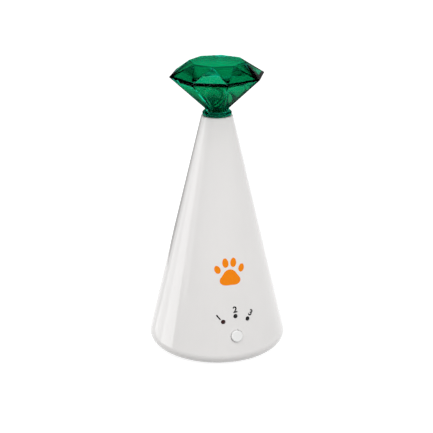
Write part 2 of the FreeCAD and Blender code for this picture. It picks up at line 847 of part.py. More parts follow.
def compound_gear(axle, wheel_low, wheel_facing, small_low, small_high, small_facing):
    """Wheel and pinion moulded in one piece, with a running bore."""
    wheel = gear(wheel_teeth, -tooth_shift, wheel_low, wheel_low + gear_width, axle, wheel_facing, gap=True)
    small = gear(pinion_teeth, tooth_shift, wheel_low + gear_width, small_high, axle, small_facing)
    body = merged(wheel, small)
    return body.cut(rod(axle_radius + running_fit, wheel_low - 1.0, small_high + 1.0, axle))


def first_reduction_gear():
    """First compound gear, driven by the motor pinion."""
    return compound_gear(first_axle, level_a, direction(first_axle, motor_axis), level_b,
                         level_b + gear_width, direction(first_axle, second_axle))


def second_reduction_gear():
    """Second compound gear, which drives the head gear."""
    return compound_gear(second_axle, level_b, direction(second_axle, first_axle), level_c,
                         level_c + head_gear_width, direction(second_axle, Vector(0, 0, 0)))


def motor_screw_points():
    """Centres of the two screws that hold the motor under the lower plate."""
    away = direction(first_axle, motor_axis) + math.pi / 2.0
    offset = Vector(math.cos(away), math.sin(away), 0) * motor_screw_offset
    return [motor_axis + offset, motor_axis - offset]


def motor_outline(radius, flat_half, low, high):
    """Round body with two flats, about the motor's axis."""
    body = rod(radius, low, high)
    body = body.common(box((-radius - 1.0, -flat_half, low - 1.0), (radius + 1.0, flat_half, high + 1.0)))
    away = math.degrees(direction(first_axle, motor_axis)) + 90.0
    return placed(body, motor_axis, away)


def motor_can():
    """Steel can of the motor, open below, with its boss in the plate."""
    low = train_height - motor_length
    can = motor_outline(motor_radius, motor_flat, low, train_height)
    boss = rod(motor_boss_radius, train_height - 0.5, train_height + motor_shell, motor_axis)
    can = merged(can, boss)
    can = can.cut(motor_outline(motor_radius - motor_shell, motor_flat - motor_shell, low - 1.0,
                                train_height - motor_shell))
    can = can.cut(rod(motor_shaft_radius + running_fit, low, train_height + motor_shell + 1.0, motor_axis))
    for point in motor_screw_points():
        can = can.cut(rod(motor_screw_radius, train_height - motor_shell - 1.0, train_height + 1.0, point))
    return can


def motor_end_cap():
    """Plastic cap that closes the motor's can and carries the shaft's end."""
    low = train_height - motor_length - end_cap
    cap = motor_outline(motor_radius, motor_flat, low, low + end_cap)
    hub = rod(motor_boss_radius, low, low + end_cap + 1.0, motor_axis)
    cap = merged(cap, hub)
    return cap.cut(rod(motor_shaft_radius + running_fit, low + 0.5, low + end_cap + 3.0, motor_axis))


def motor_shaft():
    """Steel shaft of the motor."""
    low = train_height - motor_length - end_cap + 0.6
    return rod(motor_shaft_radius, low, level_a + gear_width + 0.2, motor_axis)


def motor_armature():
    """Wound armature on the motor's shaft, as one drum."""
    low = train_height - motor_length + 3.5
    return ring(armature_radius, motor_shaft_radius, low, low + armature_length, motor_axis)


def motor_pinion():
    """Pinion on the motor's shaft."""
    body = gear(pinion_teeth, tooth_shift, level_a - 0.2, level_a + gear_width, motor_axis,
                direction(motor_axis, first_axle))
    return body.cut(rod(motor_shaft_radius, level_a - 1.0, level_a + gear_width + 1.0, motor_axis))


def motor_screws():
    """Small screws through the lower plate into the motor's can."""
    screws = []
    for point in motor_screw_points():
        head = rod(1.8 * motor_screw_radius, plate_top_face, plate_top_face + 0.5 * gear_gap + 0.3, point)
        screws.append(merged(head, rod(motor_screw_radius, train_height - motor_shell, plate_top_face, point)))
    return screws


def laser_spindle():
    """Fixed hollow spindle that carries the laser and guides the head's shaft."""
    bore = laser_radius + running_fit
    return turned((bore, train_height), (spindle_spigot_radius, train_height), (spindle_spigot_radius, plate_top_face),
                  (spindle_shoulder_radius, plate_top_face), (spindle_shoulder_radius, washer_low),
                  (spindle_radius, washer_low), (spindle_radius, spindle_top), (bore, spindle_top))


def thrust_washer():
    """Washer between the spindle's shoulder and the head gear."""
    return ring(spindle_shoulder_radius, spindle_radius, washer_low, washer_low + washer_thickness)


def laser_top():
    """Height of the front end of the laser's barrel."""
    return spindle_top - laser_top_drop


def laser_barrel():
    """Brass barrel of the laser module."""
    top = laser_top()
    body = rod(laser_radius, top - laser_length, top)
    return body.cut(rod(lens_radius, top - lens_recess - lens_thickness, top + 1.0))


def laser_lens():
    """Collimating lens in the front of the barrel."""
    low = laser_top() - lens_recess - lens_thickness
    top, bevel = low + lens_thickness, 0.25 * lens_thickness
    return turned((0, low), (lens_radius, low), (lens_radius, top - bevel), (lens_radius - bevel, top), (0, top))


def neck_bush():
    """Plain bearing of the head's shaft in the neck."""
    return ring(bush_outer_radius, bush_bore, bush_top - bush_length, bush_top)


def head_shaft():
    """Hollow shaft between the head gear and the gem."""
    return turned((shaft_bore, level_c), (shaft_radius, level_c), (shaft_radius, collar_low),
                  (shaft_spigot_radius, collar_low), (shaft_spigot_radius, head_floor_top),
                  (shaft_bore, head_floor_top))


def head_gear():
    """Large gear pressed on the lower end of the head's shaft."""
    body = gear(head_teeth, -tooth_shift, level_c, level_c + head_gear_width, Vector(0, 0, 0),
                direction(Vector(0, 0, 0), second_axle), gap=True)
    return body.cut(rod(shaft_radius, level_c - 1.0, level_c + head_gear_width + 1.0))


def gem_blank(planes):
    """Faceted solid cut out of a drum by planes."""
    drum = rod(girdle_radius * 1.2, culet_height - 4.0, overall_height + 5.0)
    return cut_by_planes(drum, planes)


def gem_pavilion():
    """Lower half of the gem: a faceted funnel with its collar, waist and beam slot."""
    body = gem_blank(pavilion_planes(0.0) + [(Vector(0, 0, girdle_height), Vector(0, 0, 1)),
                                             (Vector(0, 0, culet_height), Vector(0, 0, -1))])
    rim = collar_rounding
    base = turned((0, collar_low), (collar_radius - rim, collar_low), (collar_radius, collar_low + rim),
                  (collar_radius, collar_top - rim), (collar_radius - rim, collar_top),
                  (waist_radius, collar_top), (waist_radius, culet_height + 0.4), (0, culet_height + 0.4))
    slot_rim = on_facet(obround(slot_length + 2.0 * slot_rim_width, slot_width + 2.0 * slot_rim_width,
                                -gem_wall - slot_rim_depth, -gem_wall / 2.0))
    cavity = gem_blank(pavilion_planes(gem_wall) + [(Vector(0, 0, girdle_height + 1.0), Vector(0, 0, 1))])
    cavity = cavity.common(rod(girdle_radius * 1.2, head_floor_top, overall_height))
    shell = merged(body, base).cut(cavity)
    shell = shell.cut(rod(head_bore_radius, head_floor_top, culet_height + 2.0))
    shell = merged(shell, slot_rim)
    shell = shell.cut(rod(shaft_spigot_radius, collar_low - 1.0, head_floor_top + 1.0))
    shell = shell.cut(on_facet(obround(slot_length, slot_width, -3.0 * gem_wall, gem_wall)))
    for point in fork_screw_points():
        shell = shell.cut(rod(fork_screw_radius, head_floor_top - fork_screw_grip, head_floor_top + 1.0, point))
    return shell


def gem_crown():
    """Upper half of the gem: table and crown facets, hollow below."""
    body = gem_blank(crown_planes(0.0) + [(Vector(0, 0, girdle_height), Vector(0, 0, -1))])
    cavity = gem_blank(crown_planes(gem_wall) + [(Vector(0, 0, girdle_height - 1.0), Vector(0, 0, -1))])
    return body.cut(cavity)


def beam_window():
    """Clear insert that closes the beam slot."""
    return on_facet(obround(slot_length - 2.0 * window_fit, slot_width - 2.0 * window_fit,
                            -window_recess - window_thickness, -window_recess))


def fork_screw_points():
    """Centres of the screws that hold the fork to the gem's floor."""
    places = []
    for side in (-1, 1):
        angle = math.radians(facet_azimuth - 90.0 + 180.0 + side * 45.0)
        places.append(Vector(math.cos(angle), math.sin(angle), 0) * fork_screw_circle)
    return places


def mirror_fork():
    """Base disc with two open cradles for the mirror's trunnions."""
    fork = rod(head_bore_radius - 0.1, head_floor_top, fork_low)
    for side in (-1, 1):
        inner, outer = side * fork_gap / 2.0, side * (fork_gap / 2.0 + fork_ear)
        ear = box((fork_offset - fork_width / 2.0, min(inner, outer), head_floor_top),
                  (fork_offset + fork_width / 2.0, max(inner, outer), pivot_height + fork_top))
        fork = merged(fork, ear)
    notch_radius = trunnion_radius + running_fit
    notch = Part.makeCylinder(notch_radius, 2.0 * fork_gap, Vector(fork_offset, -fork_gap, pivot_height), Vector(0, 1, 0))
    mouth = box((fork_offset - notch_radius, -fork_gap, pivot_height),
                (fork_offset + notch_radius, fork_gap, pivot_height + fork_top + 1.0))
    fork = fork.cut(notch).cut(mouth)
    fork = on_head(fork.cut(rod(beam_hole_radius, head_floor_top - 1.0, fork_low + 1.0)))
    for point in fork_screw_points():
        fork = fork.cut(rod(fork_screw_radius + 0.1, head_floor_top - 1.0, fork_low + 1.0, point))
    return fork


def fork_screws():
    """Tiny screws of the fork, heads up."""
    one = screw(fork_screw_radius, fork_screw_head, 0.7, fork_base + fork_screw_grip - 0.3)
    one.rotate(Vector(0, 0, 0), Vector(1, 0, 0), 180.0)
    return [placed(one, point + Vector(0, 0, fork_low)) for point in fork_screw_points()]


def on_mirror(shape):
    """Shape drawn with X up the mirror and Z out of its face, put at the pivot."""
    turn = Rotation(Vector(0, 1, 0), 135.0)
    shape.Placement = Placement(Vector(fork_offset, 0, pivot_height), turn).multiply(shape.Placement)
    return on_head(shape)


def mirror_holder():
    """Plate behind the mirror with a cheek and a trunnion on each side."""
    half_length, half_width = mirror_length / 2.0 + holder_margin, fork_gap / 2.0 - 0.1
    plate = box((-half_length, -half_width, -mirror_glass - holder_plate), (half_length, half_width, -mirror_glass))
    parts = []
    for side in (-1, 1):
        inner, outer = side * (half_width - cheek_thickness), side * half_width
        cheek = Part.makeCylinder(cheek_radius, cheek_thickness, Vector(0, min(inner, outer), 0), Vector(0, 1, 0))
        end = side * (half_width + 0.1 + trunnion_length)
        trunnion = Part.makeCylinder(trunnion_radius, abs(end - inner), Vector(0, min(end, inner), 0), Vector(0, 1, 0))
        parts += [cheek, trunnion]
    return on_mirror(merged(plate, *parts))


def mirror():
    """Front-silvered mirror glued to its holder."""
    half = mirror_width / 2.0
    glass = box((-mirror_length / 2.0, -half, -mirror_glass), (mirror_length / 2.0, half, 0.0))
    return on_mirror(glass)


def bent_wire(points):
    """Round wire along straight runs joined by tangent arcs."""
    edges, here = [], points[0]
    for before, corner, after in zip(points, points[1:], points[2:]):
        back, ahead = (before - corner), (after - corner)
        run = 0.45 * min(back.Length, ahead.Length)
        back, ahead = back.normalize(), ahead.normalize()
        half_turn = (math.pi - back.getAngle(ahead)) / 2.0
        cut = min(wire_bend * math.tan(half_turn), run)
        radius = cut / math.tan(half_turn)
        start, end = corner + back * cut, corner + ahead * cut
        inward = (back + ahead).normalize()
        middle = corner + inward * (math.hypot(radius, cut) - radius)
        edges.append(Part.LineSegment(here, start).toShape())
        edges.append(Part.Arc(start, middle, end).toShape())
        here = end
    edges.append(Part.LineSegment(here, points[-1]).toShape())
    path = Part.Wire(edges)
    circle = Part.makeCircle(wire_radius, points[0], points[1] - points[0])
    return path.makePipeShell([Part.Wire([circle])], True, False)


def wire_pair(points, spread):
    """Two wires side by side along one route."""
    return [bent_wire([point + spread * side for point in points]) for side in (-0.5, 0.5)]


def panel_world(x, y, z):
    """Point of the panel's own frame in the part's frame."""
    tilt = Rotation(Vector(1, 0, 0), 90.0 - math.degrees(wall_angle))
    return panel_point() + tilt.multVec(Vector(x, y, z))


def battery_wires():
    """Leads from the two end contacts of the bay to the board."""
    wires = []
    y = cell_places()[0][0]
    above = bay_roof + tray_wall + wire_bend
    for end in (-1, 1):
        start = Vector(end * (bay_half_length - 1.0), y, contact_low + contact_height)
        top = Vector(end * (bay_half_length - 1.0), y, above)
        board = panel_world(end * (board_half_width - wire_edge), wire_edge, board_back)
        behind = panel_world(end * (board_half_width - wire_edge), wire_edge, board_back - wire_loop)
        wires.append(bent_wire([start, top, behind, board]))
    return wires


def motor_wires():
    """Leads from the board up to the motor's end cap."""
    low = train_height - motor_length - end_cap
    route = [panel_world(-wire_side, board_high - wire_edge, board_back),
             panel_world(-wire_side, board_high - wire_edge, board_back - wire_loop),
             motor_axis + Vector(0, 0, low - motor_wire_drop), motor_axis + Vector(0, 0, low)]
    return wire_pair(route, Vector(wire_spacing, 0, 0))


def laser_wires():
    """Leads from the board up the spindle to the laser."""
    route = [panel_world(wire_side, board_high - wire_edge, board_back),
             panel_world(wire_side, board_high - wire_edge, board_back - wire_loop),
             Vector(0, 0, train_height - laser_wire_drop), Vector(0, 0, laser_top() - laser_length)]
    return wire_pair(route, Vector(wire_spacing, 0, 0))


def joined(solids):
    """Several separate solids as one group."""
    return Part.makeCompound(solids) if isinstance(solids, list) else solids


def model():
    """Every node of the toy by name."""
    nodes = {
        "cone_housing": cone_housing(), "base_cover": base_cover(), "battery_door": battery_door(),
        "door_hinge_pin": door_hinge_pin(), "rubber_feet": rubber_feet(), "base_screws": base_screws(),
        "battery_cells": battery_cells(), "negative_contacts": negative_contacts(),
        "positive_contacts": positive_contacts(), "battery_wires": battery_wires(),
        "circuit_board": circuit_board(), "board_screws": board_screws(), "control_chip": control_chip(),
        "smoothing_capacitor": smoothing_capacitor(), "mode_switch": mode_switch(),
        "switch_plunger": switch_plunger(), "mode_button": mode_button(),
        "lower_gear_plate": lower_gear_plate(), "upper_gear_plate": upper_gear_plate(),
        "frame_screws": frame_screws(), "gear_axles": gear_axles(),
        "first_reduction_gear": first_reduction_gear(), "second_reduction_gear": second_reduction_gear(),
        "motor_can": motor_can(), "motor_end_cap": motor_end_cap(), "motor_shaft": motor_shaft(),
        "motor_armature": motor_armature(), "motor_pinion": motor_pinion(), "motor_screws": motor_screws(),
        "motor_wires": motor_wires(), "laser_spindle": laser_spindle(), "thrust_washer": thrust_washer(),
        "laser_barrel": laser_barrel(), "laser_lens": laser_lens(), "laser_wires": laser_wires(),
        "neck_bush": neck_bush(), "head_shaft": head_shaft(), "head_gear": head_gear(),
        "gem_pavilion": gem_pavilion(), "gem_crown": gem_crown(), "beam_window": beam_window(),
        "mirror_fork": mirror_fork(), "fork_screws": fork_screws(), "mirror_holder": mirror_holder(),
        "mirror": mirror(),
    }
    for side, azimuth, height in led_places:
        nodes["indicator_led_" + side] = indicator_led(azimuth, height)
    return {name: joined(shape) for name, shape in nodes.items()}


if __name__ == "__main__":
    os.makedirs("parts", exist_ok=True)
    for name, shape in model().items():
        shape.exportStep("parts/" + name + ".step")
        solids = len(shape.Solids)
        print(name, "solids", solids, "volume", round(shape.Volume, 2), "valid", shape.isValid())
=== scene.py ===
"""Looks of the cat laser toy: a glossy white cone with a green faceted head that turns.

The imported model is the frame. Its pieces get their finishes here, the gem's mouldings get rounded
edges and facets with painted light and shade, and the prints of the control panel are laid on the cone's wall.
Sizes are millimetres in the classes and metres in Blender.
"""

import logging
import math
from dataclasses import dataclass
from enum import Enum, IntEnum

import bmesh
import bpy
from mathutils import Euler, Matrix, Vector

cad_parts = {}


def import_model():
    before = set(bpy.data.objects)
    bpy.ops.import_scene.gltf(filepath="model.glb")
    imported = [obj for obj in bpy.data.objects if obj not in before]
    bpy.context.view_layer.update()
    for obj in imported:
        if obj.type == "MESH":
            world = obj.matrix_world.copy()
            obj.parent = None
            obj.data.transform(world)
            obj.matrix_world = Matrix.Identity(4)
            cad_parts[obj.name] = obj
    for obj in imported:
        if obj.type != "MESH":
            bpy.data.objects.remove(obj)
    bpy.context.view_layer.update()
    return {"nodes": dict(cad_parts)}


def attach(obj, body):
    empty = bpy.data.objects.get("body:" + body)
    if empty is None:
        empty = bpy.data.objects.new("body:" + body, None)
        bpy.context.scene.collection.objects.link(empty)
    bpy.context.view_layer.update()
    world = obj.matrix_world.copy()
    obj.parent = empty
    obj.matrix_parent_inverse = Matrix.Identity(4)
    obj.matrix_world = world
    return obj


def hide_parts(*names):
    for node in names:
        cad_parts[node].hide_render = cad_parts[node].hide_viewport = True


log = logging.getLogger("laser_toy")

MM = 0.001
NOISE_ROUGHNESS = 0.55
BLACK = (0.0, 0.0, 0.0, 1.0)
WHITE = (1.0, 1.0, 1.0, 1.0)

Colour = tuple[float, float, float]
Pair = tuple[float, float]


class Coat(Enum):
    """Clear top layers that a moulding can have."""

    NONE = 0.0
    FULL = 0.6


class Label(Enum):
    """Plain numbers printed beside the indicators."""

    FIRST = "1"
    SECOND = "2"
    THIRD = "3"


class Facet(IntEnum):
    """Kinds of the gem's faces, numbered as their material slots."""

    PLAIN = 0
    WELD = 1
    SLOT_EDGE = 2
    # The table, star and kite slots take painted light and shade.
    STAR = 3
    KITE = 4
    TABLE = 5


def polar(radius: float, azimuth: float, height: float) -> Vector:
    """Point at a radius and height on an azimuth from the front.

    Args:
        radius: Distance from the toy's axis, in millimetres.
        azimuth: Degrees from the front, growing towards +X.
        height: Height above the floor, in millimetres.

    Returns:
        The point in metres.
    """
    angle = math.radians(azimuth)
    return Vector((radius * math.sin(angle), -radius * math.cos(angle), height)) * MM


def set_range(node: bpy.types.Node, source: Pair, target: Pair) -> None:
    """Sets what a node that maps ranges maps from and to."""
    for socket, number in zip(("From Min", "From Max", "To Min", "To Max"), (*source, *target)):
        node.inputs[socket].default_value = number


class Shades:
    """Writer of one material's shader nodes."""

    def __init__(self, name: str) -> None:
        """Starts a material with its main shader."""
        self.material = bpy.data.materials.new(name)
        self.material.use_nodes = True
        tree = self.material.node_tree
        self.nodes, self.links = tree.nodes, tree.links
        self.shader = self.nodes["Principled BSDF"]

    def node(self, kind: str, **values: object) -> bpy.types.Node:
        """Adds a node.

        Args:
            kind: The node's type without its prefix, such as "TexNoise".
            values: Attributes set on the node.

        Returns:
            The new node.
        """
        made = self.nodes.new("ShaderNode" + kind)
        for key, value in values.items():
            setattr(made, key, value)
        return made

    def place(self, scale: Colour = (1.0, 1.0, 1.0), turn: Colour = (0.0, 0.0, 0.0)) -> bpy.types.NodeSocket:
        """Gives the object's own coordinates through a mapping.

        Args:
            scale: Factor on each axis.
            turn: Rotation in degrees on each axis.

        Returns:
            The mapped point.
        """
        point = self.node("TexCoord")
        mapping = self.node("Mapping")
        mapping.inputs["Scale"].default_value = scale
        mapping.inputs["Rotation"].default_value = [math.radians(value) for value in turn]
        self.links.new(point.outputs["Object"], mapping.inputs["Vector"])
        return mapping.outputs["Vector"]

    def noise(self, point: bpy.types.NodeSocket, scale: float, detail: float = 3.0) -> bpy.types.NodeSocket:
        """Adds noise at a point and returns its grey value."""
        made = self.node("TexNoise")
        made.inputs["Scale"].default_value = scale
        made.inputs["Detail"].default_value = detail
        made.inputs["Roughness"].default_value = NOISE_ROUGHNESS
        self.links.new(point, made.inputs["Vector"])
        return made.outputs["Fac"]

    def spread(self, value: bpy.types.NodeSocket, low: float, high: float, start: float = 0.3,
               end: float = 0.7) -> bpy.types.NodeSocket:
        """Maps a grey value to a range.

        Args:
            value: The socket that is mapped.
            low: Result at the start.
            high: Result at the end.
            start: Value that gives low.
            end: Value that gives high.

        Returns:
            The mapped value, kept in its range.
        """
        made = self.node("MapRange", clamp=True)
        set_range(made, (start, end), (low, high))
        self.links.new(value, made.inputs["Value"])
        return made.outputs["Result"]

    def math(self, kind: str, first: object, second: object = 0.0) -> bpy.types.NodeSocket:
        """Adds a sum of sockets or numbers and returns its value."""
        made = self.node("Math", operation=kind)
        for index, item in enumerate((first, second)):
            if isinstance(item, bpy.types.NodeSocket):
                self.links.new(item, made.inputs[index])
            else:
                made.inputs[index].default_value = item
        return made.outputs["Value"]

    def axes(self, point: bpy.types.NodeSocket) -> tuple[bpy.types.NodeSocket, ...]:
        """Splits a point into its three values."""
        made = self.node("SeparateXYZ")
        self.links.new(point, made.inputs["Vector"])
        return made.outputs["X"], made.outputs["Y"], made.outputs["Z"]

    def blend(self, factor: bpy.types.NodeSocket, first: object, second: object) -> bpy.types.NodeSocket:
        """Mixes two colours, each a socket or a colour, and returns the mix."""
        made = self.node("Mix", data_type="RGBA")
        self.links.new(factor, made.inputs["Factor"])
        for name, item in (("A", first), ("B", second)):
            socket = [entry for entry in made.inputs if entry.name == name and entry.type == "RGBA"][0]
            if isinstance(item, bpy.types.NodeSocket):
                self.links.new(item, socket)
            else:
                socket.default_value = (*item, 1.0)
        return [entry for entry in made.outputs if entry.type == "RGBA"][0]

    def ripple(self, height: bpy.types.NodeSocket, depth: float, strength: float = 1.0) -> None:
        """Bumps the surface by a grey value that stands for a depth in metres."""
        made = self.node("Bump")
        made.inputs["Distance"].default_value = depth
        made.inputs["Strength"].default_value = strength
        self.links.new(height, made.inputs["Height"])
        self.links.new(made.outputs["Normal"], self.shader.inputs["Normal"])

    def lead(self, value: bpy.types.NodeSocket, socket: str) -> None:
        """Leads a value to one of the shader's sockets."""
        self.links.new(value, self.shader.inputs[socket])

    def fix(self, **values: object) -> None:
        """Sets plain values on the shader's sockets, named with underscores for spaces."""
        for key, value in values.items():
            self.shader.inputs[key.replace("_", " ")].default_value = value


@dataclass(frozen=True)
class Moulding:
    """Moulded plastic or rubber with a slight mottle, uneven gloss and fine surface ripple.

    Attributes:
        name: Name of the material.
        colour: Colour of most of the surface.
        mottle: Colour that it drifts to.
        gloss: Lowest and highest roughness.
        grain: Size of the ripple in millimetres.
        depth: Depth of the ripple in millimetres.
        coat: Clear layer on top.
        specular: Specular level.
        glow: Share of light that spreads under the surface.
        drift: Scale of the drift between the colours.
        unevenness: Scale of the uneven gloss.
        coat_roughness: Roughness of the clear layer.
        glow_depth: How far light spreads under the surface, in metres.
        glow_reach: Share of that distance for each channel.
    """

    name: str
    colour: Colour
    mottle: Colour
    gloss: Pair
    grain: float
    depth: float
    coat: Coat = Coat.NONE
    specular: float = 0.5
    glow: float = 0.0
    drift: float = 18.0
    unevenness: float = 55.0
    coat_roughness: float = 0.04
    glow_depth: float = 0.002
    glow_reach: Colour = (1.0, 0.9, 0.8)

    def material(self) -> bpy.types.Material:
        """Makes the material."""
        shades = Shades(self.name)
        point = shades.place()
        wide = shades.noise(point, self.drift)
        fine = shades.noise(point, 1.0 / (self.grain * MM), 2.0)
        shades.lead(shades.blend(shades.spread(wide, 0.0, 1.0), self.colour, self.mottle), "Base Color")
        shades.lead(shades.spread(shades.noise(point, self.unevenness, 4.0), *self.gloss), "Roughness")
        shades.ripple(fine, self.depth * MM)
        shades.fix(Specular_IOR_Level=self.specular, Coat_Weight=self.coat.value,
                   Coat_Roughness=self.coat_roughness)
        if self.glow:
            shades.fix(Subsurface_Weight=self.glow, Subsurface_Scale=self.glow_depth,
                       Subsurface_Radius=self.glow_reach)
        return shades.material


@dataclass(frozen=True)
class Metal:
    """Bare metal with drawn lines along one axis, dull patches and small scratches.

    Attributes:
        name: Name of the material.
        colour: Colour of the metal.
        tarnish: Colour of its dull patches.
        gloss: Lowest and highest roughness.
        lines: Scale of the drawn lines on each axis, small along the lines.
        depth: Depth of the lines in millimetres.
        patch: Scale of the dull patches.
        cover: Noise values where the tarnish starts and is fullest.
        dullest: Share of the tarnish at its fullest.
        edge: Strength of the lines' bump.
    """

    name: str
    colour: Colour
    tarnish: Colour
    gloss: Pair
    lines: Colour = (900.0, 900.0, 40.0)
    depth: float = 0.004
    patch: float = 260.0
    cover: Pair = (0.45, 0.75)
    dullest: float = 0.7
    edge: float = 0.6

    def material(self) -> bpy.types.Material:
        """Makes the material."""
        shades = Shades(self.name)
        point = shades.place()
        drawn = shades.noise(shades.place(self.lines), 1.0, 2.0)
        patches = shades.noise(point, self.patch, 4.0)
        dull = shades.spread(patches, 0.0, self.dullest, *self.cover)
        shades.lead(shades.blend(dull, self.colour, self.tarnish), "Base Color")
        shades.lead(shades.spread(patches, *self.gloss), "Roughness")
        shades.ripple(drawn, self.depth * MM, self.edge)
        shades.fix(Metallic=1.0)
        return shades.material


@dataclass(frozen=True)
class ClearMoulding:
    """See-through plastic with faint flow marks from the mould.

    Attributes:
        name: Name of the material.
        colour: Tint that light takes at the faces.
        roughness: Roughness of the polished faces.
        bend: Refractive index.
        flow: Depth of the flow marks in millimetres.
        mirror: Share of the reflection off the outside of the faces that stays.
        density: How fast the plastic darkens inside, per metre, or 0 for a tint at the faces alone.
        depths: Colour left inside the plastic.
        frosted: Lowest and highest Z in millimetres of a fine-etched inner face, or none.
        etch: Roughness of that face.
        streaks: Scale of the flow marks on each axis.
        drift: Scale of the tint's drift.
        deeper: Share of the tint where it is deepest.
        dullest: Highest roughness as a share of the roughness.
    """

    name: str
    colour: Colour
    roughness: float = 0.012
    bend: float = 1.46
    flow: float = 0.008
    mirror: float = 0.05
    density: float = 0.0
    depths: Colour = (0.0, 0.82, 0.7)
    frosted: Pair | None = None
    etch: float = 0.5
    streaks: Colour = (60.0, 60.0, 180.0)
    drift: float = 30.0
    deeper: float = 0.94
    dullest: float = 1.8

    def material(self) -> bpy.types.Material:
        """Makes the material."""
        shades = Shades(self.name)
        point = shades.place()
        streaks = shades.noise(shades.place(self.streaks), 1.0)
        tone = shades.spread(shades.noise(point, self.drift), 0.0, 1.0)
        deeper = tuple(channel * self.deeper for channel in self.colour)
        shades.lead(shades.blend(tone, self.colour, deeper), "Base Color")
        polish = shades.spread(streaks, self.roughness, self.roughness * self.dullest)
        if self.frosted:
            height = shades.axes(point)[2]
            above = shades.math("GREATER_THAN", height, self.frosted[0] * MM)
            below = shades.math("LESS_THAN", height, self.frosted[1] * MM)
            etched = shades.math("MULTIPLY", shades.math("MULTIPLY", above, below), self.etch)
            polish = shades.math("MAXIMUM", polish, etched)
        shades.lead(polish, "Roughness")
        shades.ripple(streaks, self.flow * MM)
        shades.fix(Transmission_Weight=1.0, IOR=self.bend)
        self.calm(shades)
        if self.density:
            inside = shades.node("VolumeAbsorption")
            inside.inputs["Color"].default_value = (*self.depths, 1.0)
            inside.inputs["Density"].default_value = self.density
            shades.links.new(inside.outputs["Volume"], shades.nodes["Material Output"].inputs["Volume"])
        return shades.material

    def calm(self, shades: Shades) -> None:
        """Weakens the reflection off the outside with a share of plain refraction.

        Principled tints light by the root of its colour at a face, so plain refraction does too.

        Args:
            shades: The writer of the material.
        """
        plain, mix = shades.node("BsdfRefraction"), shades.node("MixShader")
        plain.inputs["IOR"].default_value = self.bend
        root = shades.node("Gamma")
        root.inputs["Gamma"].default_value = 0.5
        for source, target in (("Base Color", root.inputs["Color"]), ("Roughness", plain.inputs["Roughness"]),
                               ("Normal", plain.inputs["Normal"])):
            shades.links.new(shades.shader.inputs[source].links[0].from_socket, target)
        shades.links.new(root.outputs["Color"], plain.inputs["Color"])
        side = shades.node("NewGeometry")
        shades.links.new(shades.spread(side.outputs["Backfacing"], self.mirror, 1.0, 0.0, 1.0), mix.inputs["Fac"])
        shades.links.new(plain.outputs["BSDF"], mix.inputs[1])
        shades.links.new(shades.shader.outputs["BSDF"], mix.inputs[2])
        shades.links.new(mix.outputs["Shader"], shades.nodes["Material Output"].inputs["Surface"])


@dataclass(frozen=True)
class IndicatorLens:
    """Dark tinted lamp body, which may glow faintly from inside.

    Attributes:
        name: Name of the material.
        colour: Colour of the tinted resin.
        glow: Colour of the light inside.
        power: Strength of that light.
        cloud: Scale of the resin's faint clouds.
        paler: Factor and sum that give the colour of the clouds.
        gloss: Lowest and highest roughness.
        specular: Specular level.
    """

    name: str
    colour: Colour
    glow: Colour = (0.0, 0.0, 0.0)
    power: float = 0.0
    cloud: float = 700.0
    paler: Pair = (1.6, 0.002)
    gloss: Pair = (0.08, 0.16)
    specular: float = 0.22

    def material(self) -> bpy.types.Material:
        """Makes the material."""
        shades = Shades(self.name)
        point = shades.place()
        cloud = shades.noise(point, self.cloud, 2.0)
        factor, sum_ = self.paler
        lighter = tuple(channel * factor + sum_ for channel in self.colour)
        shades.lead(shades.blend(shades.spread(cloud, 0.0, 1.0), self.colour, lighter), "Base Color")
        shades.lead(shades.spread(cloud, *self.gloss), "Roughness")
        shades.fix(Specular_IOR_Level=self.specular, Emission_Color=(*self.glow, 1.0),
                   Emission_Strength=self.power)
        return shades.material


@dataclass(frozen=True)
class CellWrap:
    """Printed sleeve of the cells, with bare ends and a coloured band at the nub's end.

    Attributes:
        name: Name of the material.
        body: Colour of the sleeve.
        band: Colour of the band.
        steel: Colour of the bare ends.
        half: Distance from the middle to the sleeve's ends, in millimetres.
        centre: Y of the middle cell, in millimetres.
        pitch: Distance between the cells, in millimetres.
        banded: Where the band starts, as a share of half.
        wear: Scale of the worn spots.
        worn: Noise values where wear starts and is fullest, and its share there.
        faded: Factor and sum that give the worn colour.
        gloss: Lowest and highest roughness.
        crease: Depth of the sleeve's creases, in millimetres.
    """

    name: str
    body: Colour
    band: Colour
    steel: Colour
    half: float = 23.6
    centre: float = 3.0
    pitch: float = 15.0
    banded: float = 0.5
    wear: float = 140.0
    worn: Colour = (0.5, 0.8, 0.35)
    faded: Pair = (0.6, 0.1)
    gloss: Pair = (0.22, 0.36)
    crease: float = 0.003

    def material(self) -> bpy.types.Material:
        """Makes the material."""
        shades = Shades(self.name)
        point = shades.place()
        along, across, _ = shades.axes(point)
        offset = shades.math("ABSOLUTE", shades.math("SUBTRACT", across, self.centre * MM))
        middle = shades.math("LESS_THAN", offset, self.pitch * MM / 2.0)
        side = shades.math("SUBTRACT", 1.0, shades.math("MULTIPLY", middle, 2.0))
        towards = shades.math("MULTIPLY", along, side)
        band = shades.math("GREATER_THAN", towards, self.banded * self.half * MM)
        end = shades.math("GREATER_THAN", shades.math("ABSOLUTE", along), self.half * MM)
        start, fullest, share = self.worn
        factor, sum_ = self.faded
        wear = shades.spread(shades.noise(point, self.wear, 5.0), 0.0, share, start, fullest)
        sleeve = shades.blend(band, self.body, self.band)
        worn = shades.blend(wear, sleeve, tuple(factor * value + sum_ for value in self.body))
        shades.lead(shades.blend(end, worn, self.steel), "Base Color")
        shades.lead(end, "Metallic")
        shades.lead(shades.spread(shades.noise(point, 90.0), *self.gloss), "Roughness")
        shades.ripple(shades.noise(point, 900.0, 2.0), self.crease * MM)
        return shades.material


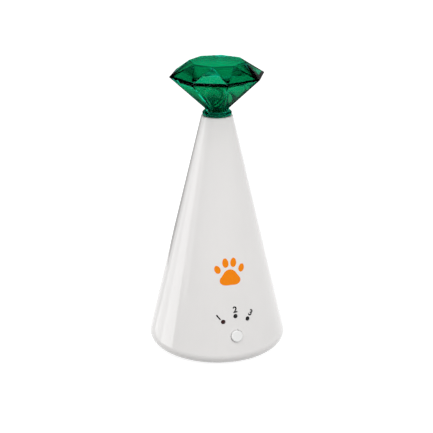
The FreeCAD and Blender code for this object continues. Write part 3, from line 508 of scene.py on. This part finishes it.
@dataclass(frozen=True)
class PrintedBoard:
    """Green board with tracks under its varnish and tinned pads.

    Attributes:
        name: Name of the material.
        varnish: Colour between the tracks.
        track: Colour over the copper.
        pad: Colour of the pads.
        lean: Tilt of the board from upright, in degrees.
        grid: Scale of the tracks' cells.
        wander: How irregular the cells are.
        track_width: Half width of a track, as a share of a cell.
        pad_radius: Radius of a pad, as a share of a cell.
        gloss: Lowest and highest roughness.
        relief: Height of tracks and pads, in millimetres.
        varnished: Weight and roughness of the varnish.
    """

    name: str
    varnish: Colour
    track: Colour
    pad: Colour
    lean: float = 13.37
    grid: float = 210.0
    wander: float = 0.55
    track_width: float = 0.07
    pad_radius: float = 0.16
    gloss: Pair = (0.24, 0.4)
    relief: float = 0.03
    varnished: Pair = (0.3, 0.1)

    def cells(self, shades: Shades, point: bpy.types.NodeSocket, feature: str,
              distance: str = "EUCLIDEAN") -> bpy.types.NodeSocket:
        """Adds the cells of tracks and pads.

        Args:
            shades: The writer of the material.
            point: The mapped point.
            feature: Which distance is measured.
            distance: How it is measured.

        Returns:
            The distance in a cell.
        """
        made = shades.node("TexVoronoi", feature=feature, distance=distance)
        made.inputs["Scale"].default_value = self.grid
        made.inputs["Randomness"].default_value = self.wander
        shades.links.new(point, made.inputs["Vector"])
        return made.outputs["Distance"]

    def material(self) -> bpy.types.Material:
        """Makes the material."""
        shades = Shades(self.name)
        point = shades.place(turn=(self.lean - 90.0, 0.0, 0.0))
        edges = self.cells(shades, point, "DISTANCE_TO_EDGE", "CHEBYCHEV")
        tracks = shades.math("LESS_THAN", edges, self.track_width)
        pads = shades.math("LESS_THAN", self.cells(shades, point, "F1"), self.pad_radius)
        lacquer = shades.blend(tracks, self.varnish, self.track)
        shades.lead(shades.blend(pads, lacquer, self.pad), "Base Color")
        shades.lead(pads, "Metallic")
        shades.lead(shades.spread(shades.noise(point, 400.0), *self.gloss), "Roughness")
        shades.ripple(shades.math("ADD", tracks, pads), self.relief * MM, 0.5)
        weight, roughness = self.varnished
        shades.fix(Coat_Weight=weight, Coat_Roughness=roughness)
        return shades.material


@dataclass(frozen=True)
class Ink:
    """Pad-printed ink with pinholes and a slightly uneven layer.

    Attributes:
        name: Name of the material.
        colour: Colour of the ink.
        thin: Colour where the layer is thin.
        gloss: Lowest and highest roughness.
        grain: Scale of the pinholes.
        pinholes: Noise values where the layer starts to thin and is thinnest.
        relief: Height of the grain, in millimetres.
        specular: Specular level.
    """

    name: str
    colour: Colour
    thin: Colour
    gloss: Pair = (0.24, 0.38)
    grain: float = 1800.0
    pinholes: Pair = (0.55, 0.8)
    relief: float = 0.008
    specular: float = 0.12

    def material(self) -> bpy.types.Material:
        """Makes the material."""
        shades = Shades(self.name)
        point = shades.place()
        layer = shades.noise(point, self.grain)
        cover = shades.spread(layer, 0.0, 1.0, *self.pinholes)
        shades.lead(shades.blend(cover, self.colour, self.thin), "Base Color")
        shades.lead(shades.spread(layer, *self.gloss), "Roughness")
        shades.ripple(layer, self.relief * MM)
        shades.fix(Specular_IOR_Level=self.specular)
        return shades.material


Finish = Moulding | Metal | ClearMoulding | IndicatorLens | CellWrap | PrintedBoard | Ink

WHITE_GLOSS = Moulding("white_gloss", (0.80, 0.785, 0.775), (0.775, 0.762, 0.755), (0.1, 0.16), 3.0, 0.004,
                       Coat.FULL)
WHITE_BUTTON = Moulding("white_button", (0.88, 0.88, 0.875), (0.85, 0.85, 0.845), (0.26, 0.36), 0.8, 0.006)
BLACK_RUBBER = Moulding("black_rubber", (0.022, 0.022, 0.023), (0.035, 0.034, 0.033), (0.7, 0.86), 0.35, 0.02,
                        specular=0.35)
BLACK_PLASTIC = Moulding("black_plastic", (0.02, 0.02, 0.022), (0.03, 0.03, 0.032), (0.4, 0.55), 0.25, 0.01)
GREY_PLASTIC = Moulding("grey_plastic", (0.33, 0.335, 0.34), (0.29, 0.295, 0.30), (0.36, 0.5), 0.3, 0.01)
GEAR_WHITE = Moulding("gear_white", (0.76, 0.75, 0.70), (0.72, 0.71, 0.66), (0.3, 0.42), 0.5, 0.006, glow=0.12)
WIRE_RED = Moulding("wire_red", (0.5, 0.015, 0.012), (0.42, 0.012, 0.01), (0.34, 0.46), 0.6, 0.008)
GREEN_GEM = ClearMoulding("green_gem", (0.006, 0.5, 0.28), frosted=(207.7, 208.3))
GEM_WELD = ClearMoulding("gem_weld", (0.98, 1.0, 0.99), 0.0, 1.001, 0.0, mirror=1.0)
# Painted light: the crown's table gets a brighter copy of the gem's green.
GEM_TABLE_PAINTED_LIGHT = ClearMoulding("gem_table_painted_light", (0.02, 1.0, 0.62))
# Painted light: a paler copy of the gem's green, with more reflection, on the crown facets at every quarter turn.
GEM_STAR_PAINTED_LIGHT = ClearMoulding("gem_star_painted_light", (0.08, 1.0, 0.95), mirror=0.15)
# Painted shade: a darker copy of the gem's green on the other crown facets and their rounded edges.
GEM_KITE_PAINTED_SHADE = ClearMoulding("gem_kite_painted_shade", (0.008, 0.26, 0.15))
# Painted shade: the edge faces of the window's slot get an opaque dark green in place of the clear green plastic.
SLOT_EDGE = Moulding("slot_edge", (0.003, 0.05, 0.022), (0.004, 0.06, 0.028), (0.3, 0.4), 0.3, 0.004)
FORK_GREEN = ClearMoulding("fork_green", (0.55, 0.95, 0.84), 0.02, 1.5, 0.01, mirror=0.6, density=40.0)
CLEAR_WINDOW = ClearMoulding("clear_window", (0.45, 0.9, 0.75), 0.01, 1.49, 0.004, density=60.0)
STEEL = Metal("steel", (0.56, 0.56, 0.55), (0.42, 0.41, 0.40), (0.2, 0.36))
SPRING_STEEL = Metal("spring_steel", (0.66, 0.64, 0.60), (0.5, 0.47, 0.42), (0.18, 0.3), (40.0, 900.0, 900.0))
BRASS = Metal("brass", (0.72, 0.49, 0.2), (0.5, 0.33, 0.14), (0.2, 0.34))
MIRROR_GLASS = Metal("mirror_glass", (0.88, 0.9, 0.9), (0.82, 0.84, 0.84), (0.02, 0.06), (200.0, 200.0, 200.0),
                     0.0005)
LENS_DARK = IndicatorLens("dark_lens", (0.006, 0.0055, 0.006))
LENS_LIT = IndicatorLens("dark_lens_lit", (0.012, 0.002, 0.002), (0.5, 0.01, 0.01), 0.025)
CELL_WRAP = CellWrap("cell_wrap", (0.03, 0.032, 0.036), (0.62, 0.3, 0.03), (0.6, 0.6, 0.58))
BOARD_GREEN = PrintedBoard("board_green", (0.006, 0.09, 0.035), (0.012, 0.16, 0.06), (0.72, 0.7, 0.64))
ORANGE_INK = Ink("orange_ink", (0.92, 0.24, 0.003), (0.90, 0.3, 0.02))
BLACK_INK = Ink("black_ink", (0.012, 0.012, 0.013), (0.03, 0.03, 0.03))

# The table, star and kite finishes and the slot's edge finish paint light and shade on the gem.
GEM_FINISHES: dict[Facet, Finish] = {
    Facet.PLAIN: GREEN_GEM, Facet.WELD: GEM_WELD, Facet.SLOT_EDGE: SLOT_EDGE, Facet.STAR: GEM_STAR_PAINTED_LIGHT,
    Facet.KITE: GEM_KITE_PAINTED_SHADE, Facet.TABLE: GEM_TABLE_PAINTED_LIGHT,
}
FRAME_FINISHES: tuple[Finish, ...] = (
    WHITE_GLOSS, WHITE_BUTTON, BLACK_RUBBER, BLACK_PLASTIC, GREY_PLASTIC, GEAR_WHITE, WIRE_RED, GREEN_GEM,
    FORK_GREEN, CLEAR_WINDOW, STEEL, SPRING_STEEL, BRASS, MIRROR_GLASS, LENS_DARK, CELL_WRAP, BOARD_GREEN,
)


class Wardrobe:
    """Materials by name, each made once."""

    def __init__(self) -> None:
        """Starts with no material made."""
        self.made: dict[str, bpy.types.Material] = {}

    def material(self, finish: Finish) -> bpy.types.Material:
        """Gives the material of a finish."""
        if finish.name not in self.made:
            self.made[finish.name] = finish.material()
        return self.made[finish.name]

    def dress(self, piece: bpy.types.Object, finish: Finish) -> None:
        """Puts a finish on every slot of a piece."""
        material = self.material(finish)
        if not piece.data.materials:
            piece.data.materials.append(material)
        for index in range(len(piece.data.materials)):
            piece.data.materials[index] = material


@dataclass
class Wall:
    """Straight wall of the cone, where the panel's pieces sit.

    Attributes:
        foot_radius: Outer radius where the base rounding ends, in millimetres.
        foot_height: Height of that place, in millimetres.
        slope: Radius lost for each millimetre of height.
    """

    foot_radius: float = 49.83
    foot_height: float = 8.66
    slope: float = 0.2377

    def radius(self, height: float) -> float:
        """Outer radius at a height, in millimetres."""
        return self.foot_radius - (height - self.foot_height) * self.slope

    def lay(self, shape: bmesh.types.BMesh, azimuth: float, height: float, turn: float) -> None:
        """Lays a flat shape, drawn in millimetres with Y up, on the wall.

        Args:
            shape: The flat shape, changed in place to metres.
            azimuth: Where its middle goes, in degrees from the front.
            height: Height of its middle, in millimetres.
            turn: Anticlockwise turn of the shape, in degrees.
        """
        bmesh.ops.rotate(shape, verts=shape.verts, cent=(0, 0, 0),
                         matrix=Matrix.Rotation(math.radians(turn), 3, "Z"))
        reach = max(abs(vertex.co.x) for vertex in shape.verts)
        for step in range(-int(reach), int(reach) + 1):
            bmesh.ops.bisect_plane(shape, geom=shape.verts[:] + shape.edges[:] + shape.faces[:],
                                   plane_co=(step, 0, 0), plane_no=(1, 0, 0))
        rise = math.cos(math.atan(self.slope))
        for vertex in shape.verts:
            level = height + vertex.co.y * rise
            radius = self.radius(level)
            around = azimuth + math.degrees(vertex.co.x / self.radius(height))
            vertex.co = polar(radius + vertex.co.z / rise, around, level)


def finish_mesh(shape: bmesh.types.BMesh, name: str) -> bpy.types.Object:
    """Turns a bmesh into an object of the scene.

    Args:
        shape: The shape in metres, freed afterwards.
        name: Name of the piece.

    Returns:
        The new object at the origin.
    """
    mesh = bpy.data.meshes.new(name)
    shape.to_mesh(mesh)
    shape.free()
    piece = bpy.data.objects.new(name, mesh)
    bpy.context.scene.collection.objects.link(piece)
    return piece


def smooth(piece: bpy.types.Object, angle: float = 35.0) -> None:
    """Smooths a piece's shading below an edge angle in degrees."""
    mesh = piece.data
    mesh.polygons.foreach_set("use_smooth", [True] * len(mesh.polygons))
    mesh.set_sharp_from_angle(angle=math.radians(angle))


@dataclass
class GemHead:
    """Turning head: the two green mouldings, with rounded edges and painted light and shade on the facets.

    Attributes:
        edge: Rounding of the moulded edges, in millimetres.
        steps: Segments of the rounding.
        corner: Smallest edge angle that is rounded, in degrees.
        shortest: Shortest edge that is rounded, in millimetres.
        same: Distance below which two points are one, in millimetres.
        level: Angle below which two faces are one, in degrees.
        soft: Edge angle below which the shading is smooth, in degrees.
        seam: Height of the weld between the two mouldings, in millimetres.
        slot_azimuth: Azimuth of the window's slot, in degrees from the front.
        slot_radius: Distance of the slot's centre from the axis, in millimetres.
        slot_height: Height of the slot's centre, in millimetres.
        slot_reach: How far from that centre its edge lies, in millimetres.
        star_azimuth: Azimuth of one facet with painted light, in degrees from the front.
        star_pitch: Angle between two facets with painted light, in degrees.
        star_reach: How far the normal of a facet with painted light may lie from that azimuth, in degrees.
    """

    edge: float = 0.22
    steps: int = 3
    corner: float = 12.0
    shortest: float = 2.5
    same: float = 0.002
    level: float = 0.6
    soft: float = 25.0
    seam: float = 200.3
    slot_azimuth: float = 63.4
    slot_radius: float = 15.3
    slot_height: float = 184.2
    slot_reach: float = 9.2
    star_azimuth: float = -26.6
    star_pitch: float = 90.0
    star_reach: float = 4.0

    def rounded(self, node: bpy.types.Object, name: str) -> bpy.types.Object:
        """Makes a copy of a moulding with rounded edges.

        Args:
            node: The moulding of the frame.
            name: Name of the new piece.

        Returns:
            The new piece.
        """
        shape = bmesh.new()
        shape.from_mesh(node.data)
        bmesh.ops.remove_doubles(shape, verts=shape.verts, dist=self.same * MM)
        bmesh.ops.dissolve_limit(shape, angle_limit=math.radians(self.level), verts=shape.verts,
                                 edges=shape.edges)
        sharp = [edge for edge in shape.edges
                 if len(edge.link_faces) == 2 and edge.calc_length() > self.shortest * MM
                 and edge.calc_face_angle(0.0) > math.radians(self.corner)]
        bmesh.ops.bevel(shape, geom=sharp, offset=self.edge * MM, segments=self.steps, profile=0.5,
                        affect="EDGES", offset_type="OFFSET", clamp_overlap=True, material=-1)
        self.mark(shape)
        piece = finish_mesh(shape, name)
        smooth(piece, self.soft)
        return piece

    def mark(self, shape: bmesh.types.BMesh) -> None:
        """Gives each face the number of its finish.

        Args:
            shape: The moulding in metres, changed in place.
        """
        outwards = polar(1.0 / MM, self.slot_azimuth, 0.0)
        slot_normal = (outwards - Vector((0.0, 0.0, 1.0))).normalized()
        slot = outwards * self.slot_radius * MM + Vector((0.0, 0.0, self.slot_height * MM))
        heart = Vector((0.0, 0.0, self.seam * MM))
        for face in shape.faces:
            middle, normal = face.calc_center_median(), face.normal
            if abs(middle.z - heart.z) < 0.02 * MM and abs(normal.z) > 0.999:
                kind = Facet.WELD
            # The slot's edge faces get the painted shade.
            elif (middle - slot).length < self.slot_reach * MM and abs(normal.dot(slot_normal)) < 0.2:
                kind = Facet.SLOT_EDGE
            elif normal.z > 0.2 and middle.z > heart.z and normal.dot(middle - heart) > 0.0:
                kind = self.crown_facet(normal)
            else:
                kind = Facet.PLAIN
            face.material_index = kind.value

    def crown_facet(self, normal: Vector) -> Facet:
        """Tells the kind of one of the crown's outer faces.

        Args:
            normal: The face's normal.

        Returns:
            The table, a facet with painted light, or else a facet or rounded edge with painted shade.
        """
        if normal.z > 0.97:
            return Facet.TABLE
        # Facets near the star azimuths get painted light, the rest painted shade.
        turn = (math.degrees(math.atan2(normal.x, -normal.y)) - self.star_azimuth) % self.star_pitch
        return Facet.STAR if min(turn, self.star_pitch - turn) < self.star_reach else Facet.KITE

    def build(self, nodes: dict[str, bpy.types.Object], wardrobe: Wardrobe) -> list[bpy.types.Object]:
        """Builds the crown and the pavilion and puts them on the head."""
        pieces = []
        for node in ("gem_crown", "gem_pavilion"):
            piece = self.rounded(nodes[node], node + "_moulding")
            for kind in Facet:
                piece.data.materials.append(wardrobe.material(GEM_FINISHES[kind]))
            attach(piece, "head")
            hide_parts(node)
            pieces.append(piece)
        return pieces


# Label, azimuth, height and anticlockwise turn of each number
NUMBERS: tuple[tuple[Label, float, float, float], ...] = (
    (Label.FIRST, -16.2, 35.6, 40.0),
    (Label.SECOND, 0.0, 40.4, 4.0),
    (Label.THIRD, 15.9, 36.2, -38.0),
)
# Distance out and up, width, height and lean of each toe, as shares of the paw's size and degrees
TOES: tuple[tuple[float, ...], ...] = (
    (0.125, 0.27, 0.19, 0.28, 8.0),
    (0.37, 0.08, 0.18, 0.25, 26.0),
)


@dataclass
class PanelPrints:
    """Ink on the cone: three numbers and a paw print.

    Attributes:
        lift: Thickness of the ink, in millimetres.
        digit_height: Height of the numbers, in millimetres.
        digit_size: Font size as a share of that height.
        boldness: How much the strokes are thickened on each side, in millimetres.
        paw_azimuth: Where the paw print is, in degrees from the front.
        paw_height: Height of its middle, in millimetres.
        paw_size: Width of the paw print, in millimetres.
        heel_radius: Radius of the large pad, as a share of the paw's size.
        heel_stretch: Its width and height against a circle's.
        heel_lobes: Depth of its three lobes and of its brow.
        heel_drop: How far it sits below the middle, as a share of the paw's size.
        toe_taper: How much a toe narrows upwards.
    """

    lift: float = 0.04
    digit_height: float = 4.4
    digit_size: float = 1.4
    boldness: float = 0.2
    paw_azimuth: float = -3.0
    paw_height: float = 67.0
    paw_size: float = 24.0
    heel_radius: float = 0.27
    heel_stretch: Pair = (1.08, 0.86)
    heel_lobes: Pair = (0.10, 0.07)
    heel_drop: float = 0.2
    toe_taper: float = 0.16

    def digit(self, label: Label, azimuth: float, height: float, turn: float, wall: Wall) -> bpy.types.Object:
        """Prints one number on the wall.

        Args:
            label: The number.
            azimuth: Where it is, in degrees from the front.
            height: Height of its middle, in millimetres.
            turn: Anticlockwise turn, in degrees.
            wall: The wall that it is printed on.

        Returns:
            The print.
        """
        text = bpy.data.curves.new("digit", "FONT")
        text.body = label.value
        text.size = self.digit_height * self.digit_size
        text.offset = self.boldness
        text.align_x, text.align_y = "CENTER", "CENTER"
        holder = bpy.data.objects.new("digit", text)
        bpy.context.scene.collection.objects.link(holder)
        bpy.context.view_layer.update()
        flat = bpy.data.meshes.new_from_object(holder.evaluated_get(bpy.context.evaluated_depsgraph_get()))
        bpy.data.objects.remove(holder)
        shape = bmesh.new()
        shape.from_mesh(flat)
        bmesh.ops.remove_doubles(shape, verts=shape.verts, dist=0.001)
        middle = (max(v.co.y for v in shape.verts) + min(v.co.y for v in shape.verts)) / 2.0
        bmesh.ops.translate(shape, verts=shape.verts, vec=(0, -middle, 0))
        return self.laid(shape, f"number_{label.value}", azimuth, height, turn, wall)

    def laid(self, shape: bmesh.types.BMesh, name: str, azimuth: float, height: float, turn: float,
             wall: Wall) -> bpy.types.Object:
        """Lays a flat outline on the wall as a thin closed layer of ink.

        Args:
            shape: The outline in millimetres, with Y up.
            name: Name of the piece.
            azimuth: Where its middle goes, in degrees from the front.
            height: Height of its middle, in millimetres.
            turn: Anticlockwise turn, in degrees.
            wall: The wall that it is printed on.

        Returns:
            The print.
        """
        bmesh.ops.recalc_face_normals(shape, faces=shape.faces)
        if sum(face.normal.z for face in shape.faces) < 0:
            bmesh.ops.reverse_faces(shape, faces=shape.faces)
        sheet = bmesh.ops.extrude_face_region(shape, geom=shape.faces[:] + shape.edges[:] + shape.verts[:],
                                              use_keep_orig=True)
        raised = [item for item in sheet["geom"] if isinstance(item, bmesh.types.BMVert)]
        bmesh.ops.translate(shape, verts=raised, vec=(0, 0, self.lift))
        bmesh.ops.recalc_face_normals(shape, faces=shape.faces)
        wall.lay(shape, azimuth, height, turn)
        bmesh.ops.recalc_face_normals(shape, faces=shape.faces)
        return finish_mesh(shape, name)

    def pad(self, shape: bmesh.types.BMesh, centre: tuple[float, float], across: float, along: float,
            lean: float) -> None:
        """Adds one toe of the paw to a flat shape.

        Args:
            shape: The flat shape.
            centre: Middle of the toe.
            across: Its width.
            along: Its height.
            lean: Anticlockwise turn, in degrees.
        """
        disc = bmesh.ops.create_circle(shape, cap_ends=True, segments=40, radius=0.5)
        verts = disc["verts"]
        bmesh.ops.scale(shape, verts=verts, vec=(across, along, 1.0))
        for vertex in verts:
            vertex.co.x *= 1.0 - self.toe_taper * vertex.co.y / along
        bmesh.ops.rotate(shape, verts=verts, cent=(0, 0, 0), matrix=Matrix.Rotation(math.radians(lean), 3, "Z"))
        bmesh.ops.translate(shape, verts=verts, vec=(*centre, 0.0))

    def heel(self, shape: bmesh.types.BMesh) -> None:
        """Adds the large lobed pad of the paw to a flat shape."""
        lobe, brow = self.heel_lobes
        disc = bmesh.ops.create_circle(shape, cap_ends=True, segments=72, radius=self.heel_radius * self.paw_size)
        for vertex in disc["verts"]:
            around = math.atan2(vertex.co.y, vertex.co.x)
            vertex.co *= 1.0 - lobe * math.sin(3.0 * around) - brow * math.cos(2.0 * around) * math.sin(around)
            vertex.co.x *= self.heel_stretch[0]
            vertex.co.y *= self.heel_stretch[1]
        bmesh.ops.translate(shape, verts=disc["verts"], vec=(0, -self.heel_drop * self.paw_size, 0))

    def paw(self, wall: Wall) -> bpy.types.Object:
        """Prints the paw on the wall."""
        shape, size = bmesh.new(), self.paw_size
        self.heel(shape)
        for side in (-1, 1):
            for out, up, across, along, lean in TOES:
                self.pad(shape, (side * out * size, up * size), across * size, along * size, side * -lean)
        return self.laid(shape, "paw_print", self.paw_azimuth, self.paw_height, 0.0, wall)

    def build(self, wall: Wall, wardrobe: Wardrobe) -> list[bpy.types.Object]:
        """Prints the numbers and the paw and puts them on the base."""
        pieces = [self.digit(*place, wall) for place in NUMBERS]
        for piece in pieces:
            wardrobe.dress(piece, BLACK_INK)
        paw = self.paw(wall)
        wardrobe.dress(paw, ORANGE_INK)
        for piece in pieces + [paw]:
            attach(piece, "base")
        return pieces + [paw]


@dataclass(frozen=True)
class Lamp:
    """Softbox that faces the toy.

    Attributes:
        name: Name of the lamp.
        azimuth: Degrees from the front, growing towards +X.
        elevation: Degrees above the floor.
        distance: Distance from the toy's middle, in metres.
        size: Width and height, in metres.
        power: Watts.
        aim: Height of the toy's middle, in metres.
    """

    name: str
    azimuth: float
    elevation: float
    distance: float
    size: Pair
    power: float
    aim: float = 0.1

    def hang(self) -> None:
        """Hangs the lamp."""
        data = bpy.data.lights.new(self.name, "AREA")
        data.shape = "RECTANGLE"
        data.size, data.size_y = self.size
        data.energy = self.power
        lamp = bpy.data.objects.new(self.name, data)
        middle = Vector((0.0, 0.0, self.aim))
        rise = math.radians(self.elevation)
        spot = middle + polar(self.distance * math.cos(rise), self.azimuth, self.distance * math.sin(rise)) / MM
        lamp.location = spot
        lamp.rotation_euler = (middle - spot).to_track_quat("-Z", "Y").to_euler()
        bpy.context.scene.collection.objects.link(lamp)


@dataclass(frozen=True)
class Card:
    """Curved card near the toy that only gloss shows.

    Attributes:
        name: Name of the card.
        low: Azimuths of its lower corners, in degrees from the front.
        high: Azimuths of its upper corners.
        distance: Distance from the toy's axis, in metres.
        height: Height of its upper edge, in metres.
        strength: How bright gloss shows it.
    """

    name: str
    low: Pair
    high: Pair
    distance: float
    height: float
    strength: float

    def stand(self) -> None:
        """Stands the card beside the toy."""
        shape = bmesh.new()
        bmesh.ops.create_grid(shape, x_segments=12, y_segments=2, size=0.5)
        for vertex in shape.verts:
            along, up = vertex.co.x + 0.5, vertex.co.y + 0.5
            start, end = (first + (second - first) * up for first, second in zip(self.low, self.high))
            spot = polar(self.distance, start + (end - start) * along, 0.0) / MM
            vertex.co = (spot.x, spot.y, self.height * up)
        card = finish_mesh(shape, self.name)
        shades = Shades(self.name)
        shades.fix(Base_Color=BLACK, Specular_IOR_Level=0.0, Emission_Color=WHITE, Emission_Strength=self.strength)
        card.data.materials.append(shades.material)
        card.visible_camera = card.visible_diffuse = card.visible_shadow = False
        card.visible_transmission = False


LAMPS: tuple[Lamp, ...] = (
    Lamp("key", 12.0, 48.0, 1.0, (0.26, 0.26), 3.2),
    Lamp("top_softbox", -40.0, 66.0, 1.2, (0.8, 0.8), 3.1),
    Lamp("left_fill", -90.0, 15.0, 1.2, (0.5, 0.9), 1.1),
)
CARDS: tuple[Card, ...] = (
    Card("bright_card_back", (-118.0, -95.0), (-136.0, -118.0), 0.08, 0.2, 2.1),
    Card("bright_card_front", (-95.0, -73.0), (-118.0, -97.0), 0.08, 0.2, 3.0),
    Card("dark_card", (152.0, 208.0), (152.0, 208.0), 0.24, 0.34, 0.35),
)


@dataclass
class Studio:
    """Floor, backdrop, lamps and camera of the picture.

    Attributes:
        lens: Focal length, in millimetres on a 36 mm sensor.
        distance: Camera's distance from the toy's axis, in metres.
        height: Camera's height, in metres.
        azimuth: Camera's azimuth, in degrees from the front.
        pitch: How far it looks down, in degrees.
        yaw: Small turn to the side, in degrees.
        floor_size: Side of the floor, in metres.
        floor_shade: How much light the floor throws back.
        floor_glow: How bright it looks by itself, where it serves as the backdrop.
        daylight: Strength of the light that the surroundings give to the toy.
        daylight_colour: Colour of that light.
        ceiling: How bright gloss shows the studio above the white backdrop.
        ceiling_rise: Where the backdrop starts and ends to fade to it, as the sine of the elevation.
    """

    lens: float = 92.76
    distance: float = 0.7571
    height: float = 0.3768
    azimuth: float = -17.5
    pitch: float = 20.377
    yaw: float = 0.0308
    floor_size: float = 8.0
    floor_shade: float = 0.4
    floor_glow: float = 0.83
    daylight: float = 0.7
    daylight_colour: Colour = (1.0, 0.995, 0.99)
    ceiling: float = 0.2
    ceiling_rise: Pair = (0.1, 0.3)

    def camera(self) -> None:
        """Places the camera at the photograph's viewing angle."""
        data = bpy.data.cameras.new("camera")
        data.lens, data.sensor_width = self.lens, 36.0
        data.clip_start, data.clip_end = 0.02, 30.0
        camera = bpy.data.objects.new("camera", data)
        spot = polar(self.distance, self.azimuth, 0.0) / MM
        camera.location = (spot.x, spot.y, self.height)
        camera.rotation_euler = Euler((math.radians(90.0 - self.pitch), 0.0,
                                       math.radians(self.azimuth + self.yaw)))
        bpy.context.scene.collection.objects.link(camera)
        bpy.context.scene.camera = camera

    def seen(self, nodes: bpy.types.Nodes, links: bpy.types.NodeLinks) -> bpy.types.NodeSocket:
        """Gives 1 for rays that show the backdrop: from the camera, off gloss or through glass.

        Args:
            nodes: The nodes that it is added to.
            links: Their links.

        Returns:
            The value's socket.
        """
        path = nodes.new("ShaderNodeLightPath")
        value = path.outputs["Is Camera Ray"]
        for name in ("Is Glossy Ray", "Is Transmission Ray"):
            joined = nodes.new("ShaderNodeMath")
            joined.operation = "MAXIMUM"
            links.new(value, joined.inputs[0])
            links.new(path.outputs[name], joined.inputs[1])
            value = joined.outputs["Value"]
        return value

    def floor(self) -> None:
        """Lays the pale floor, which keeps the toy's soft shadow."""
        shape = bmesh.new()
        bmesh.ops.create_grid(shape, x_segments=4, y_segments=4, size=self.floor_size / 2.0)
        floor = finish_mesh(shape, "floor")
        shades = Shades("floor_white")
        shades.fix(Base_Color=(self.floor_shade,) * 3 + (1.0,), Roughness=0.9, Specular_IOR_Level=0.1,
                   Emission_Color=WHITE)
        seen = self.seen(shades.nodes, shades.links)
        shades.lead(shades.math("MULTIPLY", seen, self.floor_glow), "Emission Strength")
        floor.data.materials.append(shades.material)

    def world(self) -> None:
        """Makes the white surroundings and their soft light."""
        world = bpy.data.worlds.new("surroundings")
        bpy.context.scene.world = world
        world.use_nodes = True
        nodes, links = world.node_tree.nodes, world.node_tree.links
        nodes.clear()
        output = nodes.new("ShaderNodeOutputWorld")
        light, backdrop, mix = (nodes.new("ShaderNodeBackground"), nodes.new("ShaderNodeBackground"),
                                nodes.new("ShaderNodeMixShader"))
        light.inputs["Color"].default_value = (*self.daylight_colour, 1.0)
        light.inputs["Strength"].default_value = self.daylight
        backdrop.inputs["Color"].default_value = WHITE
        path, point, parts = (nodes.new("ShaderNodeLightPath"), nodes.new("ShaderNodeTexCoord"),
                              nodes.new("ShaderNodeSeparateXYZ"))
        links.new(point.outputs["Generated"], parts.inputs["Vector"])
        rise = nodes.new("ShaderNodeMapRange")
        set_range(rise, self.ceiling_rise, (0.0, 1.0 - self.ceiling))
        links.new(parts.outputs["Z"], rise.inputs["Value"])
        shaded, strength = nodes.new("ShaderNodeMath"), nodes.new("ShaderNodeMath")
        shaded.operation, strength.operation = "MULTIPLY", "SUBTRACT"
        links.new(rise.outputs["Result"], shaded.inputs[0])
        links.new(path.outputs["Is Glossy Ray"], shaded.inputs[1])
        strength.inputs[0].default_value = 1.0
        links.new(shaded.outputs["Value"], strength.inputs[1])
        links.new(strength.outputs["Value"], backdrop.inputs["Strength"])
        links.new(self.seen(nodes, links), mix.inputs["Fac"])
        links.new(light.outputs["Background"], mix.inputs[1])
        links.new(backdrop.outputs["Background"], mix.inputs[2])
        links.new(mix.outputs["Shader"], output.inputs["Surface"])

    def build(self) -> None:
        """Sets up the whole studio."""
        self.camera()
        self.floor()
        self.world()
        for lamp in LAMPS:
            lamp.hang()
        for card in CARDS:
            card.stand()


def dress_frame(nodes: dict[str, bpy.types.Object], wardrobe: Wardrobe) -> None:
    """Puts the finishes on the frame's own pieces.

    Args:
        nodes: The frame's nodes, whose materials carry the names of their slots.
        wardrobe: The materials.
    """
    by_name = {finish.name: finish for finish in FRAME_FINISHES}
    for name, node in nodes.items():
        current = node.data.materials[0].name.split(".")[0] if node.data.materials else ""
        finish = by_name.get(current, GREY_PLASTIC)
        if name == "indicator_led_left":
            finish = LENS_LIT
        wardrobe.dress(node, finish)
        log.info("frame piece %s: %s was %s, smooth %s", name, finish.name, current, node.data.has_custom_normals)


def main() -> None:
    """Builds the toy's looks and the studio around it."""
    logging.basicConfig(level=logging.INFO, format="%(message)s")
    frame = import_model()
    view = bpy.context.scene.view_settings
    view.view_transform = "Standard"
    wardrobe = Wardrobe()
    Studio().build()
    dress_frame(frame["nodes"], wardrobe)
    wall = Wall()
    for piece in GemHead().build(frame["nodes"], wardrobe) + PanelPrints().build(wall, wardrobe):
        log.info("piece %s: %d faces", piece.name, len(piece.data.polygons))


if __name__ == "__main__":
    main()
